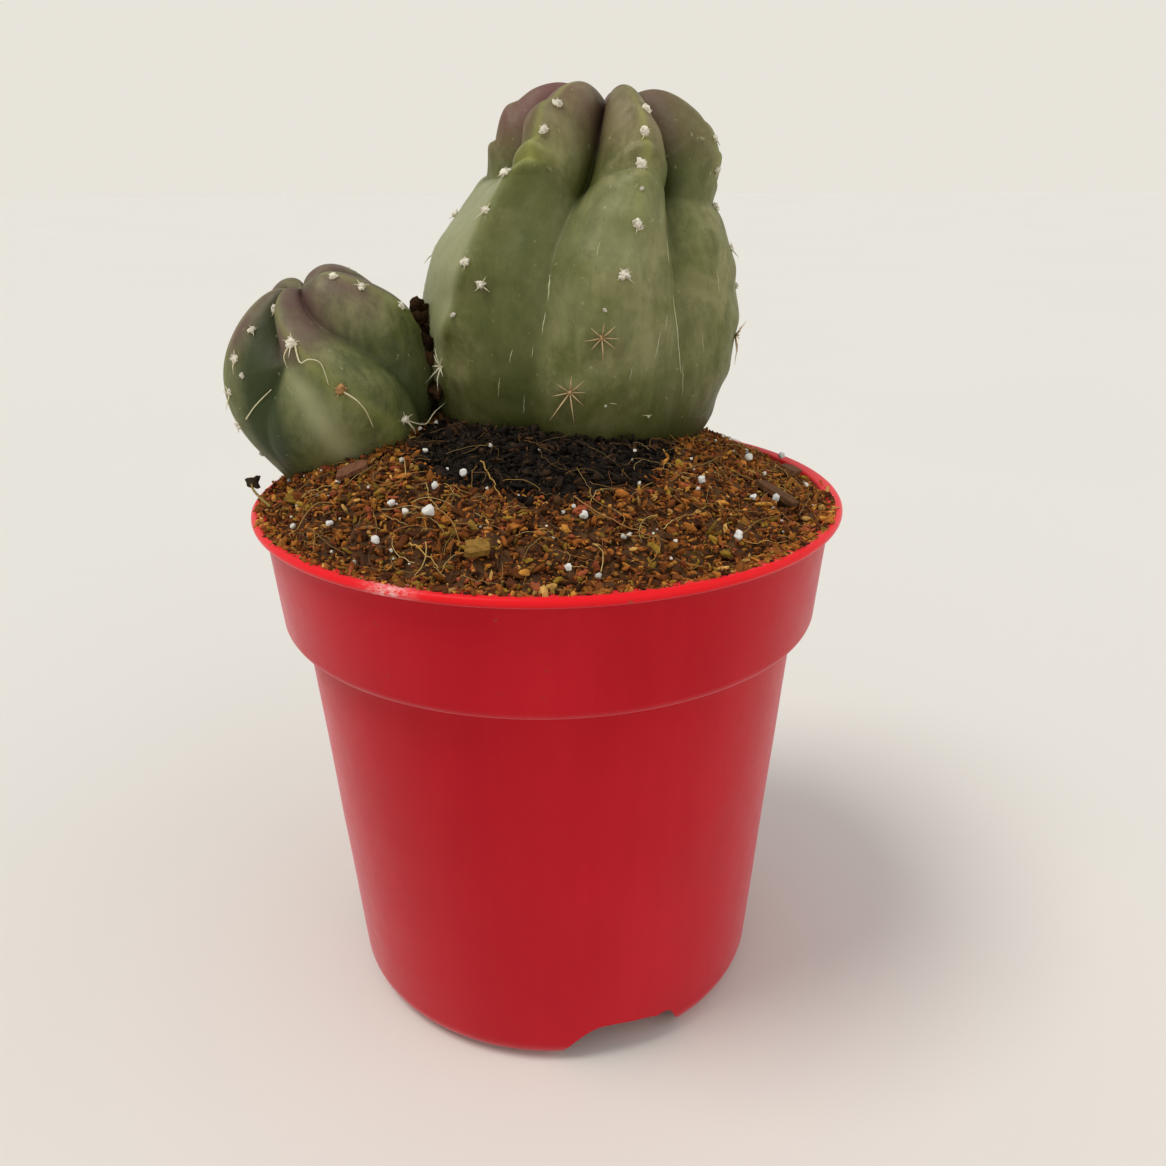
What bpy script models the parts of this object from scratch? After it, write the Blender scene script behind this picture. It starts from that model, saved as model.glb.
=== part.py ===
"""A ribbed cactus with one offset stem in a plastic nursery pot.

Sizes are in millimetres and become metres when a mesh is made. The pot stands on z = 0 with its axis
on the working origin, -Y is the front, and azimuths run from the front towards +X. At the end one
empty moves everything so that the origin is the centre of the object's footprint.
"""

import math
import random

import bpy
import bmesh
import numpy as np
from mathutils import Matrix, Vector

MM = 0.001
FIT_GAP = 0.3  # between pieces that touch

# Pot
POT_HEIGHT = 110.5
RIM_RADIUS = 60.0
LIP_HEIGHT = 1.8
LIP_OVERHANG = 2.3
WALL = 1.0
COLLAR_TAPER = 1.8
COLLAR_HEIGHT = 22.3
SHOULDER_HEIGHT = 2.7
SHOULDER_STEP = 4.0
BODY_TAPER = 6.5
FOOT_ROUNDING = 5.4
FOOT_FLAT = 1.2
PLATE_HEIGHT = 6.5
PLATE_THICKNESS = 1.2
POT_SEGMENTS = 72

# Drain notches in the foot ring
NOTCH_COUNT = 3
FIRST_NOTCH_AZIMUTH = 18.5
NOTCH_WIDTH = 29.0
NOTCH_TOP_WIDTH = 15.0
NOTCH_HEIGHT = 8.6
NOTCH_DEPTH = 8.0

# Potting mix, measured from the top of the lip
MIX_EDGE_LEVEL = -0.5
MOUND_HEIGHT = 16.0
MOUND_CENTRE = (-4.0, 2.0)
MOUND_BEYOND_EDGE = 5.0
MOUND_POWER = 1.2
MIX_RINGS = 13
MIX_SEGMENTS = 48

# Peat plug of the first pot
PLUG_CENTRE = (-1.0, -7.0)
PLUG_RADIUS = 28.0
PLUG_DEPTH = 24.0
PLUG_PROUD = 0.6
PLUG_SEGMENTS = 40

# Main stem: height above the lip, crest radius, furrow radius
MAIN_RIBS = 7
MAIN_FIRST_CREST = 13.0
MAIN_Y = 19.0
MAIN_AXIS_SHIFT = 5.3
MAIN_SHIFT_HEIGHTS = (44.0, 66.0)
MAIN_BELLY_RADIUS = 33.4
MAIN_PROFILE = (
    (-4.0, 0.0, 0.0), (-4.0, 13.0, 13.0), (-1.0, 20.0, 19.6), (4.0, 25.5, 24.8),
    (10.0, 29.6, 28.2), (17.0, 32.3, 30.2), (25.0, 33.7, 31.0), (34.0, 34.0, 30.6),
    (42.0, 33.2, 29.0), (48.0, 31.6, 26.2), (53.0, 29.0, 22.6), (58.0, 26.2, 19.6),
    (63.0, 23.8, 17.0), (69.0, 21.0, 13.4), (73.0, 17.6, 10.0), (76.0, 13.2, 7.0),
    (77.4, 8.8, 4.6), (76.4, 5.2, 2.6), (74.0, 2.4, 1.2), (72.6, 0.0, 0.0),
)
MAIN_SEGMENTS_PER_RIB = 8

# Offset stem, in its own leaning frame: distance along the axis, crest radius, furrow radius
OFFSET_RIBS = 5
OFFSET_FIRST_CREST = 12.0
OFFSET_BELLY_RADIUS = 21.2
OFFSET_BASE_LEVEL = -6.5
OFFSET_Y = 12.5
OFFSET_LEAN_LEFT = 9.9
OFFSET_LEAN_FORWARD = 9.9
OFFSET_BELLY_AT = 28.0
OFFSET_EDGE_CLEARANCE = 0.7333
OFFSET_PROFILE = (
    (-1.0, 0.0, 0.0), (-1.0, 7.0, 7.0), (1.5, 10.6, 10.3), (5.5, 13.0, 12.4),
    (10.0, 14.2, 13.4), (15.0, 16.6, 15.2), (21.0, 19.7, 17.2), (28.0, 21.2, 17.8),
    (35.0, 20.4, 16.4), (41.0, 17.8, 13.4), (46.0, 13.8, 9.8), (49.6, 9.4, 6.4),
    (50.8, 5.6, 3.6), (50.0, 2.6, 1.6), (48.8, 0.0, 0.0),
)
OFFSET_SEGMENTS_PER_RIB = 8
STEM_GAP = 0.8

# Loose grains: azimuth, share of the mix radius, size
GRAINS = (
    (-28, 0.57, 2.4), (-33, 0.65, 2.0), (-39, 0.77, 2.2), (-28, 0.77, 2.8), (-47, 0.92, 2.2),
    (-34, 0.92, 2.2), (8, 0.73, 2.2), (48, 0.66, 2.8), (56, 0.80, 2.2), (61, 0.85, 3.0),
    (39, 0.91, 2.4), (84, 0.72, 2.2), (3, 0.945, 2.4), (104, 0.93, 2.4), (162, 0.95, 2.0),
    (-150, 0.88, 2.4),
)
GRAIN_LIFT = 0.4

# Loose fibres: thickness, then the points of each as azimuth and share of the mix radius
FIBRE_RADIUS = 0.3
FIBRES = (
    ((7, 0.63), (12, 0.71), (18, 0.79), (24, 0.86)),
    ((-28, 0.89), (-24, 0.91), (-20, 0.945)),
    ((-30, 0.735), (-23, 0.77), (-18, 0.86)),
    ((-27, 0.475), (-19, 0.56), (-14, 0.635)),
    ((44, 0.78), (52, 0.845), (57, 0.88)),
    ((40, 0.91), (48, 0.88), (58, 0.90)),
    ((52, 0.58), (63, 0.60), (77, 0.63)),
    ((62, 0.94), (72, 0.94), (80, 0.945)),
    ((-55, 0.94), (-46, 0.955), (-40, 0.965)),
    ((-128, 0.93), (-135, 0.90), (-142, 0.93)),
)

# Chips: azimuth, share of the mix radius, length, width, thickness, turn, colour
CHIPS = (
    (-66, 0.72, 6.5, 4.5, 0.9, 20, "bark"),
    (67, 0.84, 9.5, 3.2, 1.0, -35, "bark"),
    (-14, 0.875, 4.5, 3.2, 1.2, 10, "wood"),
    (92, 0.90, 7.0, 3.6, 1.0, 60, "bark"),
)

# Dry sprig over the rim: azimuth, share of the rim radius, height above the lip, radius
SPRIG = (
    (-79, 0.960, 1.0, 0.30), (-82, 0.985, 0.9, 0.30), (-86, 1.005, 0.9, 0.28),
    (-90, 1.025, 1.3, 0.28), (-92, 1.040, 1.6, 0.70), (-94, 1.058, 1.8, 1.00),
    (-96, 1.075, 1.9, 0.75), (-97, 1.085, 1.9, 0.20),
)

COLOURS = {
    "pot": ((0.48, 0.010, 0.020), 0.38),
    "mix": ((0.095, 0.045, 0.018), 0.95),
    "peat": ((0.018, 0.011, 0.007), 0.95),
    "stem": ((0.115, 0.145, 0.045), 0.55),
    "offset": ((0.095, 0.140, 0.050), 0.55),
    "perlite": ((0.80, 0.79, 0.76), 0.85),
    "fibre": ((0.33, 0.19, 0.075), 0.85),
    "bark": ((0.115, 0.060, 0.030), 0.90),
    "wood": ((0.36, 0.20, 0.04), 0.90),
    "sprig": ((0.22, 0.20, 0.05), 0.85),
}

MIX_RADIUS = RIM_RADIUS - LIP_OVERHANG - WALL - FIT_GAP
COLLAR_BOTTOM = POT_HEIGHT - COLLAR_HEIGHT
JUNCTION_HEIGHT = COLLAR_BOTTOM - SHOULDER_HEIGHT
COLLAR_TOP_RADIUS = RIM_RADIUS - LIP_OVERHANG
COLLAR_BOTTOM_RADIUS = COLLAR_TOP_RADIUS - COLLAR_TAPER
BODY_TOP_RADIUS = COLLAR_BOTTOM_RADIUS - SHOULDER_STEP
BODY_FOOT_RADIUS = BODY_TOP_RADIUS - BODY_TAPER


def clear_scene():
    for item in list(bpy.data.objects):
        bpy.data.objects.remove(item, do_unlink=True)


def material(kind):
    found = bpy.data.materials.get(kind)
    if found:
        return found
    colour, roughness = COLOURS[kind]
    made = bpy.data.materials.new(kind)
    made.use_nodes = True
    made.diffuse_color = (*colour, 1.0)
    shader = made.node_tree.nodes["Principled BSDF"]
    shader.inputs["Base Color"].default_value = (*colour, 1.0)
    shader.inputs["Roughness"].default_value = roughness
    shader.inputs["Metallic"].default_value = 0.0
    return made


def add_mesh(name, points, faces, kind, smooth=True):
    """A mesh object from points in millimetres."""
    mesh = bpy.data.meshes.new(name)
    mesh.from_pydata([Vector(point) * MM for point in points], [], faces)
    fix = bmesh.new()
    fix.from_mesh(mesh)
    bmesh.ops.recalc_face_normals(fix, faces=fix.faces)
    fix.to_mesh(mesh)
    fix.free()
    if smooth:
        mesh.shade_smooth()
        mesh.set_sharp_from_angle(angle=math.radians(40))
    mesh.materials.append(material(kind))
    made = bpy.data.objects.new(name, mesh)
    bpy.context.scene.collection.objects.link(made)
    return made


def polar(azimuth, radius):
    """A point on the plan, with the azimuth in degrees from the front towards +X."""
    turn = math.radians(azimuth)
    return radius * math.sin(turn), -radius * math.cos(turn)


def loft(rings):
    """Points and faces through rings of equal length, with a fan where a ring is one point."""
    points, faces = list(rings[0]), []
    for low, high in zip(rings, rings[1:]):
        a, b = len(points) - len(low), len(points)
        points += high
        count = max(len(low), len(high))
        for k in range(count):
            n = (k + 1) % count
            if len(low) == 1:
                faces.append((a, b + n, b + k))
            elif len(high) == 1:
                faces.append((a + k, a + n, b))
            else:
                faces.append((a + k, a + n, b + n, b + k))
    return points, faces


def arc(centre, radii, start, end, steps):
    """Points of a quarter-like arc in the (radius, height) plane, from start to end degrees."""
    points = []
    for i in range(steps + 1):
        turn = math.radians(start + (end - start) * i / steps)
        points.append((centre[0] + radii[0] * math.cos(turn), centre[1] + radii[1] * math.sin(turn)))
    return points


def body_radius(height):
    """Outer radius of the tapered body, at a height over the floor."""
    return BODY_FOOT_RADIUS + BODY_TAPER * height / JUNCTION_HEIGHT


def pot_outer():
    """The pot's outside, from the foot up to the lip."""
    foot_radius = body_radius(FOOT_ROUNDING)
    rounding = arc((foot_radius - FOOT_ROUNDING, FOOT_ROUNDING), (FOOT_ROUNDING, FOOT_ROUNDING), -90, 0, 5)
    shoulder = arc((BODY_TOP_RADIUS, COLLAR_BOTTOM), (SHOULDER_STEP, SHOULDER_HEIGHT), -88, 0, 5)
    lip_middle = POT_HEIGHT - LIP_HEIGHT / 2
    bead = arc((RIM_RADIUS - LIP_HEIGHT / 2, lip_middle), (LIP_HEIGHT / 2, LIP_HEIGHT / 2), -80, 90, 5)
    collar_top = (COLLAR_TOP_RADIUS, POT_HEIGHT - LIP_HEIGHT)
    return rounding + [(BODY_TOP_RADIUS, JUNCTION_HEIGHT)] + shoulder + [collar_top] + bead


def pot_inner():
    """The pot's inside, from the lip down to the base plate, offset from the outside by the wall."""
    lip_inner = COLLAR_TOP_RADIUS - WALL
    plate_top = PLATE_HEIGHT + PLATE_THICKNESS
    shoulder = arc(
        (BODY_TOP_RADIUS - WALL, COLLAR_BOTTOM + WALL / 2), (SHOULDER_STEP, SHOULDER_HEIGHT), 0, -88, 4
    )
    return (
        [(lip_inner, POT_HEIGHT)]
        + shoulder
        + [(BODY_TOP_RADIUS - WALL, JUNCTION_HEIGHT), (body_radius(plate_top) - WALL, plate_top)]
    )


def foot_inside():
    """The recess under the base plate, from the plate's middle out and down to the foot."""
    flat_outer = body_radius(FOOT_ROUNDING) - FOOT_ROUNDING
    recess = body_radius(PLATE_HEIGHT) - 2 * WALL
    return [(recess, PLATE_HEIGHT), (recess - WALL / 2, PLATE_HEIGHT * 0.6), (flat_outer - FOOT_FLAT, 0.0)]


def lathe(profile, segments):
    """Rings of a turned profile; a point on the axis becomes a pole."""
    rings = []
    for radius, height in profile:
        if radius == 0.0:
            rings.append([(0.0, 0.0, height)])
            continue
        rings.append([(*polar(360.0 * k / segments, radius), height) for k in range(segments)])
    return rings


def make_notch_cutter(index):
    """A trapezoid prism with softened top corners that runs out through the foot ring."""
    half, top = NOTCH_WIDTH / 2, NOTCH_TOP_WIDTH / 2
    outline = (
        (-half - 1.0, -2.0), (-half, 0.0), (-top - 1.6, NOTCH_HEIGHT - 1.6), (-top, NOTCH_HEIGHT - 0.4),
        (-top + 2.5, NOTCH_HEIGHT), (top - 2.5, NOTCH_HEIGHT - 0.7), (top + 0.4, NOTCH_HEIGHT - 1.4),
        (top + 2.2, NOTCH_HEIGHT - 3.2), (half, 0.0), (half + 1.0, -2.0),
    )
    inner = body_radius(0.0) - NOTCH_DEPTH
    outer = RIM_RADIUS + 5.0
    rings = [[(across, -out, up) for across, up in outline] for out in (inner, outer)]
    points = rings[0] + rings[1]
    count = len(outline)
    faces = [(k, (k + 1) % count, count + (k + 1) % count, count + k) for k in range(count)]
    faces += [tuple(range(count)), tuple(range(2 * count - 1, count - 1, -1))]
    cutter = add_mesh(f"notch_cutter_{index + 1}", points, faces, "pot", smooth=False)
    turn = FIRST_NOTCH_AZIMUTH + 360.0 * index / NOTCH_COUNT
    cutter.rotation_euler.z = math.radians(turn)
    hide_cutter(cutter)
    return cutter


def hide_cutter(cutter):
    cutter.hide_render = True
    cutter.display_type = "WIRE"


def cut(target, cutter):
    modifier = target.modifiers.new(cutter.name, "BOOLEAN")
    modifier.operation = "DIFFERENCE"
    modifier.object = cutter


def make_pot():
    rings = lathe([(0.0, PLATE_HEIGHT)] + foot_inside() + pot_outer() + pot_inner(), POT_SEGMENTS)
    points, faces = loft(rings + [[(0.0, 0.0, PLATE_HEIGHT + PLATE_THICKNESS)]])
    pot = add_mesh("pot", points, faces, "pot")
    for index in range(NOTCH_COUNT):
        cut(pot, make_notch_cutter(index))
    return pot


def mix_level(x, y):
    """Height of the mix's surface over the floor, a mound that runs out at the lip."""
    away = math.hypot(x - MOUND_CENTRE[0], y - MOUND_CENTRE[1])
    rise = max(0.0, 1.0 - (away / (MIX_RADIUS + MOUND_BEYOND_EDGE)) ** 2) ** MOUND_POWER
    return POT_HEIGHT + MIX_EDGE_LEVEL + MOUND_HEIGHT * rise


def mix_normal(x, y):
    step = 1.0
    slope_x = (mix_level(x + step, y) - mix_level(x - step, y)) / (2 * step)
    slope_y = (mix_level(x, y + step) - mix_level(x, y - step)) / (2 * step)
    return Vector((-slope_x, -slope_y, 1.0)).normalized()


def plug_outline(azimuth, gap):
    """Radius of the peat plug at an azimuth about its own centre."""
    turn = math.radians(azimuth)
    return PLUG_RADIUS + 1.1 * math.sin(3 * turn + 0.7) + 0.7 * math.sin(5 * turn) + gap


def make_plug(name, gap):
    """The plug: a low cylinder whose top follows the mix, proud of it by a little."""
    bottom = POT_HEIGHT - PLUG_DEPTH + MOUND_HEIGHT - gap
    shares = (0.25, 0.5, 0.75, 0.93, 1.0)
    rings = [[(PLUG_CENTRE[0], PLUG_CENTRE[1], mix_level(*PLUG_CENTRE) + PLUG_PROUD + 8 * gap)]]
    for share in shares:
        ring = []
        for k in range(PLUG_SEGMENTS):
            azimuth = 360.0 * k / PLUG_SEGMENTS
            x, y = polar(azimuth, plug_outline(azimuth, gap) * share)
            x, y = x + PLUG_CENTRE[0], y + PLUG_CENTRE[1]
            proud = PLUG_PROUD * (1.0 - share**4) + 8 * gap
            ring.append((x, y, mix_level(x, y) + proud))
        rings.append(ring)
    low = [(x, y, bottom) for x, y, _ in rings[-1]]
    rings += [low, [(PLUG_CENTRE[0], PLUG_CENTRE[1], bottom)]]
    points, faces = loft(rings)
    return add_mesh(name, points, faces, "peat")


def make_mix():
    """The mix fills the pot with a small gap to its wall, and its top is the mound."""
    rings = [[(0.0, 0.0, mix_level(0.0, 0.0))]]
    for i in range(1, MIX_RINGS + 1):
        ring = []
        for k in range(MIX_SEGMENTS):
            x, y = polar(360.0 * k / MIX_SEGMENTS, MIX_RADIUS * i / MIX_RINGS)
            ring.append((x, y, mix_level(x, y)))
        rings.append(ring)
    inside = [(radius - FIT_GAP * 1.5, height) for radius, height in pot_inner()[1:]]
    floor_radius, floor = inside[-1]
    inside[-1] = (floor_radius, floor + FIT_GAP)
    rings += lathe(inside + [(0.0, floor + FIT_GAP)], MIX_SEGMENTS)
    points, faces = loft(rings)
    return add_mesh("potting_mix", points, faces, "mix")


def smooth_rows(rows, steps):
    """Catmull-Rom points through rows of numbers, with the first and last rows kept."""
    data = np.array([rows[0], *rows, rows[-1]], float)
    out = []
    for i in range(1, len(data) - 2):
        before, start, end, after = data[i - 1 : i + 3]
        for step in range(steps):
            t = step / steps
            out.append(
                0.5 * (2 * start + (end - before) * t + (2 * before - 5 * start + 4 * end - after) * t**2
                       + (3 * start - before - 3 * end + after) * t**3)
            )
    return out + [data[-1]]


def rib_share(azimuth, first_crest, count):
    """1 on a crest and 0 in a furrow, round on the crest and narrower in the furrow."""
    phase = (azimuth - first_crest) * count / 360.0
    return abs(math.cos(math.pi * phase)) ** 0.8


def make_stem(name, profile, ribs, first_crest, per_rib, kind, gap, shift=None):
    """A ribbed stem on the Z axis. A gap makes the same stem larger all round, as a cutter."""
    segments = ribs * per_rib
    rings = []
    for height, crest, furrow in profile:
        if crest == 0.0:
            side = -gap if height < profile[len(profile) // 2][0] else gap
            offset = shift(height) if shift else 0.0
            rings.append([(offset, 0.0, height + side)])
            continue
        offset = shift(height) if shift else 0.0
        ring = []
        for k in range(segments):
            azimuth = first_crest + 360.0 * k / segments
            share = rib_share(azimuth, first_crest, ribs)
            x, y = polar(azimuth, furrow + (crest - furrow) * share + gap)
            low = -gap if height == profile[0][0] else 0.0
            ring.append((x + offset, y, height + low))
        rings.append(ring)
    points, faces = loft(rings)
    return add_mesh(name, points, faces, kind)


def offset_neck():
    """Crest radius of the offset where it passes the lip's level."""
    along = -OFFSET_BASE_LEVEL
    scale = OFFSET_BELLY_RADIUS / max(crest for _, crest, _ in OFFSET_PROFILE)
    for (start, inner, _), (end, outer, _) in zip(OFFSET_PROFILE, OFFSET_PROFILE[1:]):
        if start < along <= end:
            return scale * (inner + (outer - inner) * (along - start) / (end - start))
    return OFFSET_BELLY_RADIUS


def offset_base():
    """The base point of the offset, which passes the lip's level right beside the pot's wall."""
    away = MIX_RADIUS - offset_neck() - OFFSET_EDGE_CLEARANCE
    neck_y = OFFSET_Y + OFFSET_BASE_LEVEL * math.tan(math.radians(OFFSET_LEAN_FORWARD))
    neck_x = -math.sqrt(away**2 - neck_y**2)
    back = OFFSET_BASE_LEVEL * math.tan(math.radians(OFFSET_LEAN_LEFT))
    return Vector((neck_x - back, OFFSET_Y, POT_HEIGHT + OFFSET_BASE_LEVEL))


def offset_matrix():
    """The leaning frame of the offset, from its base point."""
    lean = Matrix.Rotation(math.radians(OFFSET_LEAN_FORWARD), 4, "X")
    lean = Matrix.Rotation(math.radians(-OFFSET_LEAN_LEFT), 4, "Y") @ lean
    return Matrix.Translation(offset_base()) @ lean


def belly_reach(profile, ribs, first_crest, belly_radius, azimuth):
    """Radius of a stem's belly towards an azimuth."""
    _, crest, furrow = max(profile, key=lambda row: row[1])
    share = rib_share(azimuth, first_crest, ribs)
    return (furrow + (crest - furrow) * share) * belly_radius / crest


def main_centre_x():
    """The two bellies stand a small gap apart."""
    belly = offset_matrix() @ Vector((0.0, 0.0, OFFSET_BELLY_AT))
    back = MAIN_Y - belly.y
    away = MAIN_BELLY_RADIUS + OFFSET_BELLY_RADIUS
    azimuth = 90.0 + math.degrees(math.asin(back / away))
    reach = STEM_GAP
    reach += belly_reach(OFFSET_PROFILE, OFFSET_RIBS, OFFSET_FIRST_CREST, OFFSET_BELLY_RADIUS, azimuth)
    reach += belly_reach(MAIN_PROFILE, MAIN_RIBS, MAIN_FIRST_CREST, MAIN_BELLY_RADIUS, azimuth - 180.0)
    return belly.x + math.sqrt(reach**2 - back**2)


def main_shift(height):
    """How far the main stem's axis has moved to the right at a height over the lip."""
    low, high = MAIN_SHIFT_HEIGHTS
    t = min(1.0, max(0.0, (height - low) / (high - low)))
    return MAIN_AXIS_SHIFT * t * t * (3 - 2 * t)


def make_main(name, gap=0.0):
    scale = MAIN_BELLY_RADIUS / max(crest for _, crest, _ in MAIN_PROFILE)
    rows = [(height, crest * scale, furrow * scale) for height, crest, furrow in MAIN_PROFILE]
    stem = make_stem(
        name, rows, MAIN_RIBS, MAIN_FIRST_CREST, MAIN_SEGMENTS_PER_RIB, "stem", gap, main_shift
    )
    stem.location = Vector((main_centre_x(), MAIN_Y, POT_HEIGHT)) * MM
    return stem


def make_offset(name, gap=0.0):
    scale = OFFSET_BELLY_RADIUS / max(crest for _, crest, _ in OFFSET_PROFILE)
    rows = [(along, crest * scale, furrow * scale) for along, crest, furrow in OFFSET_PROFILE]
    stem = make_stem(
        name, rows, OFFSET_RIBS, OFFSET_FIRST_CREST, OFFSET_SEGMENTS_PER_RIB, "offset", gap
    )
    place = offset_matrix()
    stem.location = place.translation * MM
    stem.rotation_euler = place.to_euler()
    return stem


def on_mix(azimuth, share, lift):
    """A point over the mix, lifted along its normal, and that normal."""
    x, y = polar(azimuth, MIX_RADIUS * share)
    normal = mix_normal(x, y)
    return Vector((x, y, mix_level(x, y))) + normal * lift, normal


def make_grain(index, azimuth, share, size):
    """A lumpy grain: an icosphere with each point moved in or out."""
    draw = random.Random(index)
    mesh = bmesh.new()
    bmesh.ops.create_icosphere(mesh, subdivisions=1, radius=1.0)
    points = [tuple(v.co * size / 2 * draw.uniform(0.82, 1.0)) for v in mesh.verts]
    faces = [tuple(v.index for v in face.verts) for face in mesh.faces]
    mesh.free()
    grain = add_mesh(f"perlite_{index + 1:02d}", points, faces, "perlite", smooth=False)
    place, _ = on_mix(azimuth, share, size / 2 + GRAIN_LIFT)
    grain.location = place * MM


def make_tube(name, points, radii, kind):
    """A poly curve with a round bevel, through points in millimetres."""
    curve = bpy.data.curves.new(name, "CURVE")
    curve.dimensions = "3D"
    curve.bevel_depth = MM
    curve.bevel_resolution = 1
    curve.use_fill_caps = True
    spline = curve.splines.new("POLY")
    spline.points.add(len(points) - 1)
    for point, place, radius in zip(spline.points, points, radii):
        point.co = (*(Vector(place) * MM), 1.0)
        point.radius = radius
    curve.materials.append(material(kind))
    made = bpy.data.objects.new(name, curve)
    bpy.context.scene.collection.objects.link(made)


def make_fibre(index, stops):
    lift = FIBRE_RADIUS + GRAIN_LIFT
    path = [on_mix(azimuth, share, lift)[0] for azimuth, share in smooth_rows(stops, 4)]
    make_tube(f"fibre_{index + 1:02d}", path, [FIBRE_RADIUS] * len(path), "fibre")


def make_chip(index, azimuth, share, length, width, thickness, turn, kind):
    """A flat chip with cut corners that lies on the slope."""
    half, side, low = length / 2, width / 2, thickness / 2
    plan = ((-half, -side * 0.5), (-half * 0.7, side), (half * 0.5, side), (half, side * 0.2),
            (half * 0.8, -side), (-half * 0.6, -side))
    points = [(x, y, z) for z in (-low, low) for x, y in plan]
    count = len(plan)
    faces = [(k, (k + 1) % count, count + (k + 1) % count, count + k) for k in range(count)]
    faces += [tuple(range(count)), tuple(range(2 * count - 1, count - 1, -1))]
    chip = add_mesh(f"bark_chip_{index + 1}", points, faces, kind, smooth=False)
    place, normal = on_mix(azimuth, share, low + GRAIN_LIFT)
    spin = Matrix.Rotation(math.radians(turn), 4, "Z")
    lie = Vector((0, 0, 1)).rotation_difference(normal).to_matrix().to_4x4()
    chip.rotation_euler = (lie @ spin).to_euler()
    chip.location = place * MM


def make_sprig():
    """A stalk whose far end swells into a seed head, over the lip."""
    stops = smooth_rows(SPRIG, 2)
    path = [(*polar(azimuth, RIM_RADIUS * share), POT_HEIGHT + level) for azimuth, share, level, _ in stops]
    make_tube("dry_sprig", path, [radius for _, _, _, radius in stops], "sprig")


def centre_on_footprint():
    """One empty carries every piece, moved so that the box's bottom centre is the origin."""
    bpy.context.view_layer.update()
    graph = bpy.context.evaluated_depsgraph_get()
    points = []
    for item in bpy.data.objects:
        if not item.hide_render:
            solid = item.evaluated_get(graph)
            points += [solid.matrix_world @ vertex.co for vertex in solid.to_mesh().vertices]
            solid.to_mesh_clear()
    low = [min(point[i] for point in points) for i in range(3)]
    high = [max(point[i] for point in points) for i in range(3)]
    carrier = bpy.data.objects.new("plant_in_pot", None)
    bpy.context.scene.collection.objects.link(carrier)
    for item in list(bpy.data.objects):
        if item is not carrier:
            item.parent = carrier
    carrier.location = (-(low[0] + high[0]) / 2, -(low[1] + high[1]) / 2, -low[2])


def main():
    clear_scene()
    make_pot()
    mix = make_mix()
    plug = make_plug("peat_plug", 0.0)
    make_main("main_stem")
    make_offset("offset_stem")
    plug_cutter = make_plug("plug_cutter", FIT_GAP)
    main_cutter = make_main("main_cutter", FIT_GAP)
    offset_cutter = make_offset("offset_cutter", FIT_GAP)
    for cutter in (plug_cutter, main_cutter, offset_cutter):
        hide_cutter(cutter)
        cut(mix, cutter)
    cut(plug, main_cutter)
    cut(plug, offset_cutter)
    for index, row in enumerate(GRAINS):
        make_grain(index, *row)
    for index, stops in enumerate(FIBRES):
        make_fibre(index, stops)
    for index, row in enumerate(CHIPS):
        make_chip(index, *row)
    make_sprig()
    centre_on_footprint()


main()
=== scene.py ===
"""The looks of a potted cactus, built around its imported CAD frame.

Lengths inside the helpers are in millimetres, measured from the pot's own axis on the floor, with
azimuths from the front (-Y) towards +X. add_piece() turns them into metres in the frame's axes.
"""

import math

import bmesh
import bpy
import numpy as np
from mathutils import Matrix, Vector


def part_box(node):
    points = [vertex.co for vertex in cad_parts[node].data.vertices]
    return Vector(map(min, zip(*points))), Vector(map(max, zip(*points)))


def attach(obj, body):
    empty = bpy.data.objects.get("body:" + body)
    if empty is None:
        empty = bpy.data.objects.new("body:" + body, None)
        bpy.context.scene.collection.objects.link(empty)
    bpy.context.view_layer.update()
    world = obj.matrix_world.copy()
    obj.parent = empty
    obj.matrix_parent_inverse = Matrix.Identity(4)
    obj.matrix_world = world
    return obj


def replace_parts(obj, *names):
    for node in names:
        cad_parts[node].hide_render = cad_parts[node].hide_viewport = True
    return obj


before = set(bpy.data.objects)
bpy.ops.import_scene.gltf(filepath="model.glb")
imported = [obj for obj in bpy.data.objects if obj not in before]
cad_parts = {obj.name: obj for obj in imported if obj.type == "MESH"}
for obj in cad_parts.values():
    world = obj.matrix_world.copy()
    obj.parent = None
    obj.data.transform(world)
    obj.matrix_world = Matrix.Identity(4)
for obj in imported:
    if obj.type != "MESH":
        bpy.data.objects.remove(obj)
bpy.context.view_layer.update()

MM = 0.001
POT_LOW, POT_HIGH = (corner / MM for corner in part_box("pot"))
AXIS_X = (POT_LOW.x + POT_HIGH.x) / 2
AXIS_Y = (POT_LOW.y + POT_HIGH.y) / 2
POT_TOP = POT_HIGH.z
RIM = (POT_HIGH.x - POT_LOW.x) / 2
MAIN_LOW, MAIN_HIGH = (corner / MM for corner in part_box("main_stem"))
PLUG_LOW, PLUG_HIGH = (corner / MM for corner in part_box("peat_plug"))


# ---------------------------------------------------------------- mesh helpers


def make_mesh(name, points, faces):
    """A mesh in the frame's axes, from points in millimetres about the pot's axis."""
    mesh = bpy.data.meshes.new(name)
    mesh.from_pydata(((np.asarray(points, float) + (AXIS_X, AXIS_Y, 0.0)) * MM).tolist(), [], faces)
    return mesh


def add_object(name, data):
    """A new object in the scene that shows the data."""
    made = bpy.data.objects.new(name, data)
    bpy.context.scene.collection.objects.link(made)
    return made


def add_piece(name, points, faces, material, smooth=True):
    """A mesh piece that rides on the body, from points in millimetres about the pot's axis."""
    mesh = make_mesh(name, points, faces)
    mesh.validate()
    if smooth:
        mesh.shade_smooth()
    mesh.materials.append(material)
    piece = add_object(name, mesh)
    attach(piece, "root")
    return piece


def store(piece, name, values):
    """One number for each point, for the piece's material to read."""
    layer = piece.data.attributes.new(name, "FLOAT", "POINT")
    layer.data.foreach_set("value", np.asarray(values, np.float32).ravel())


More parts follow.
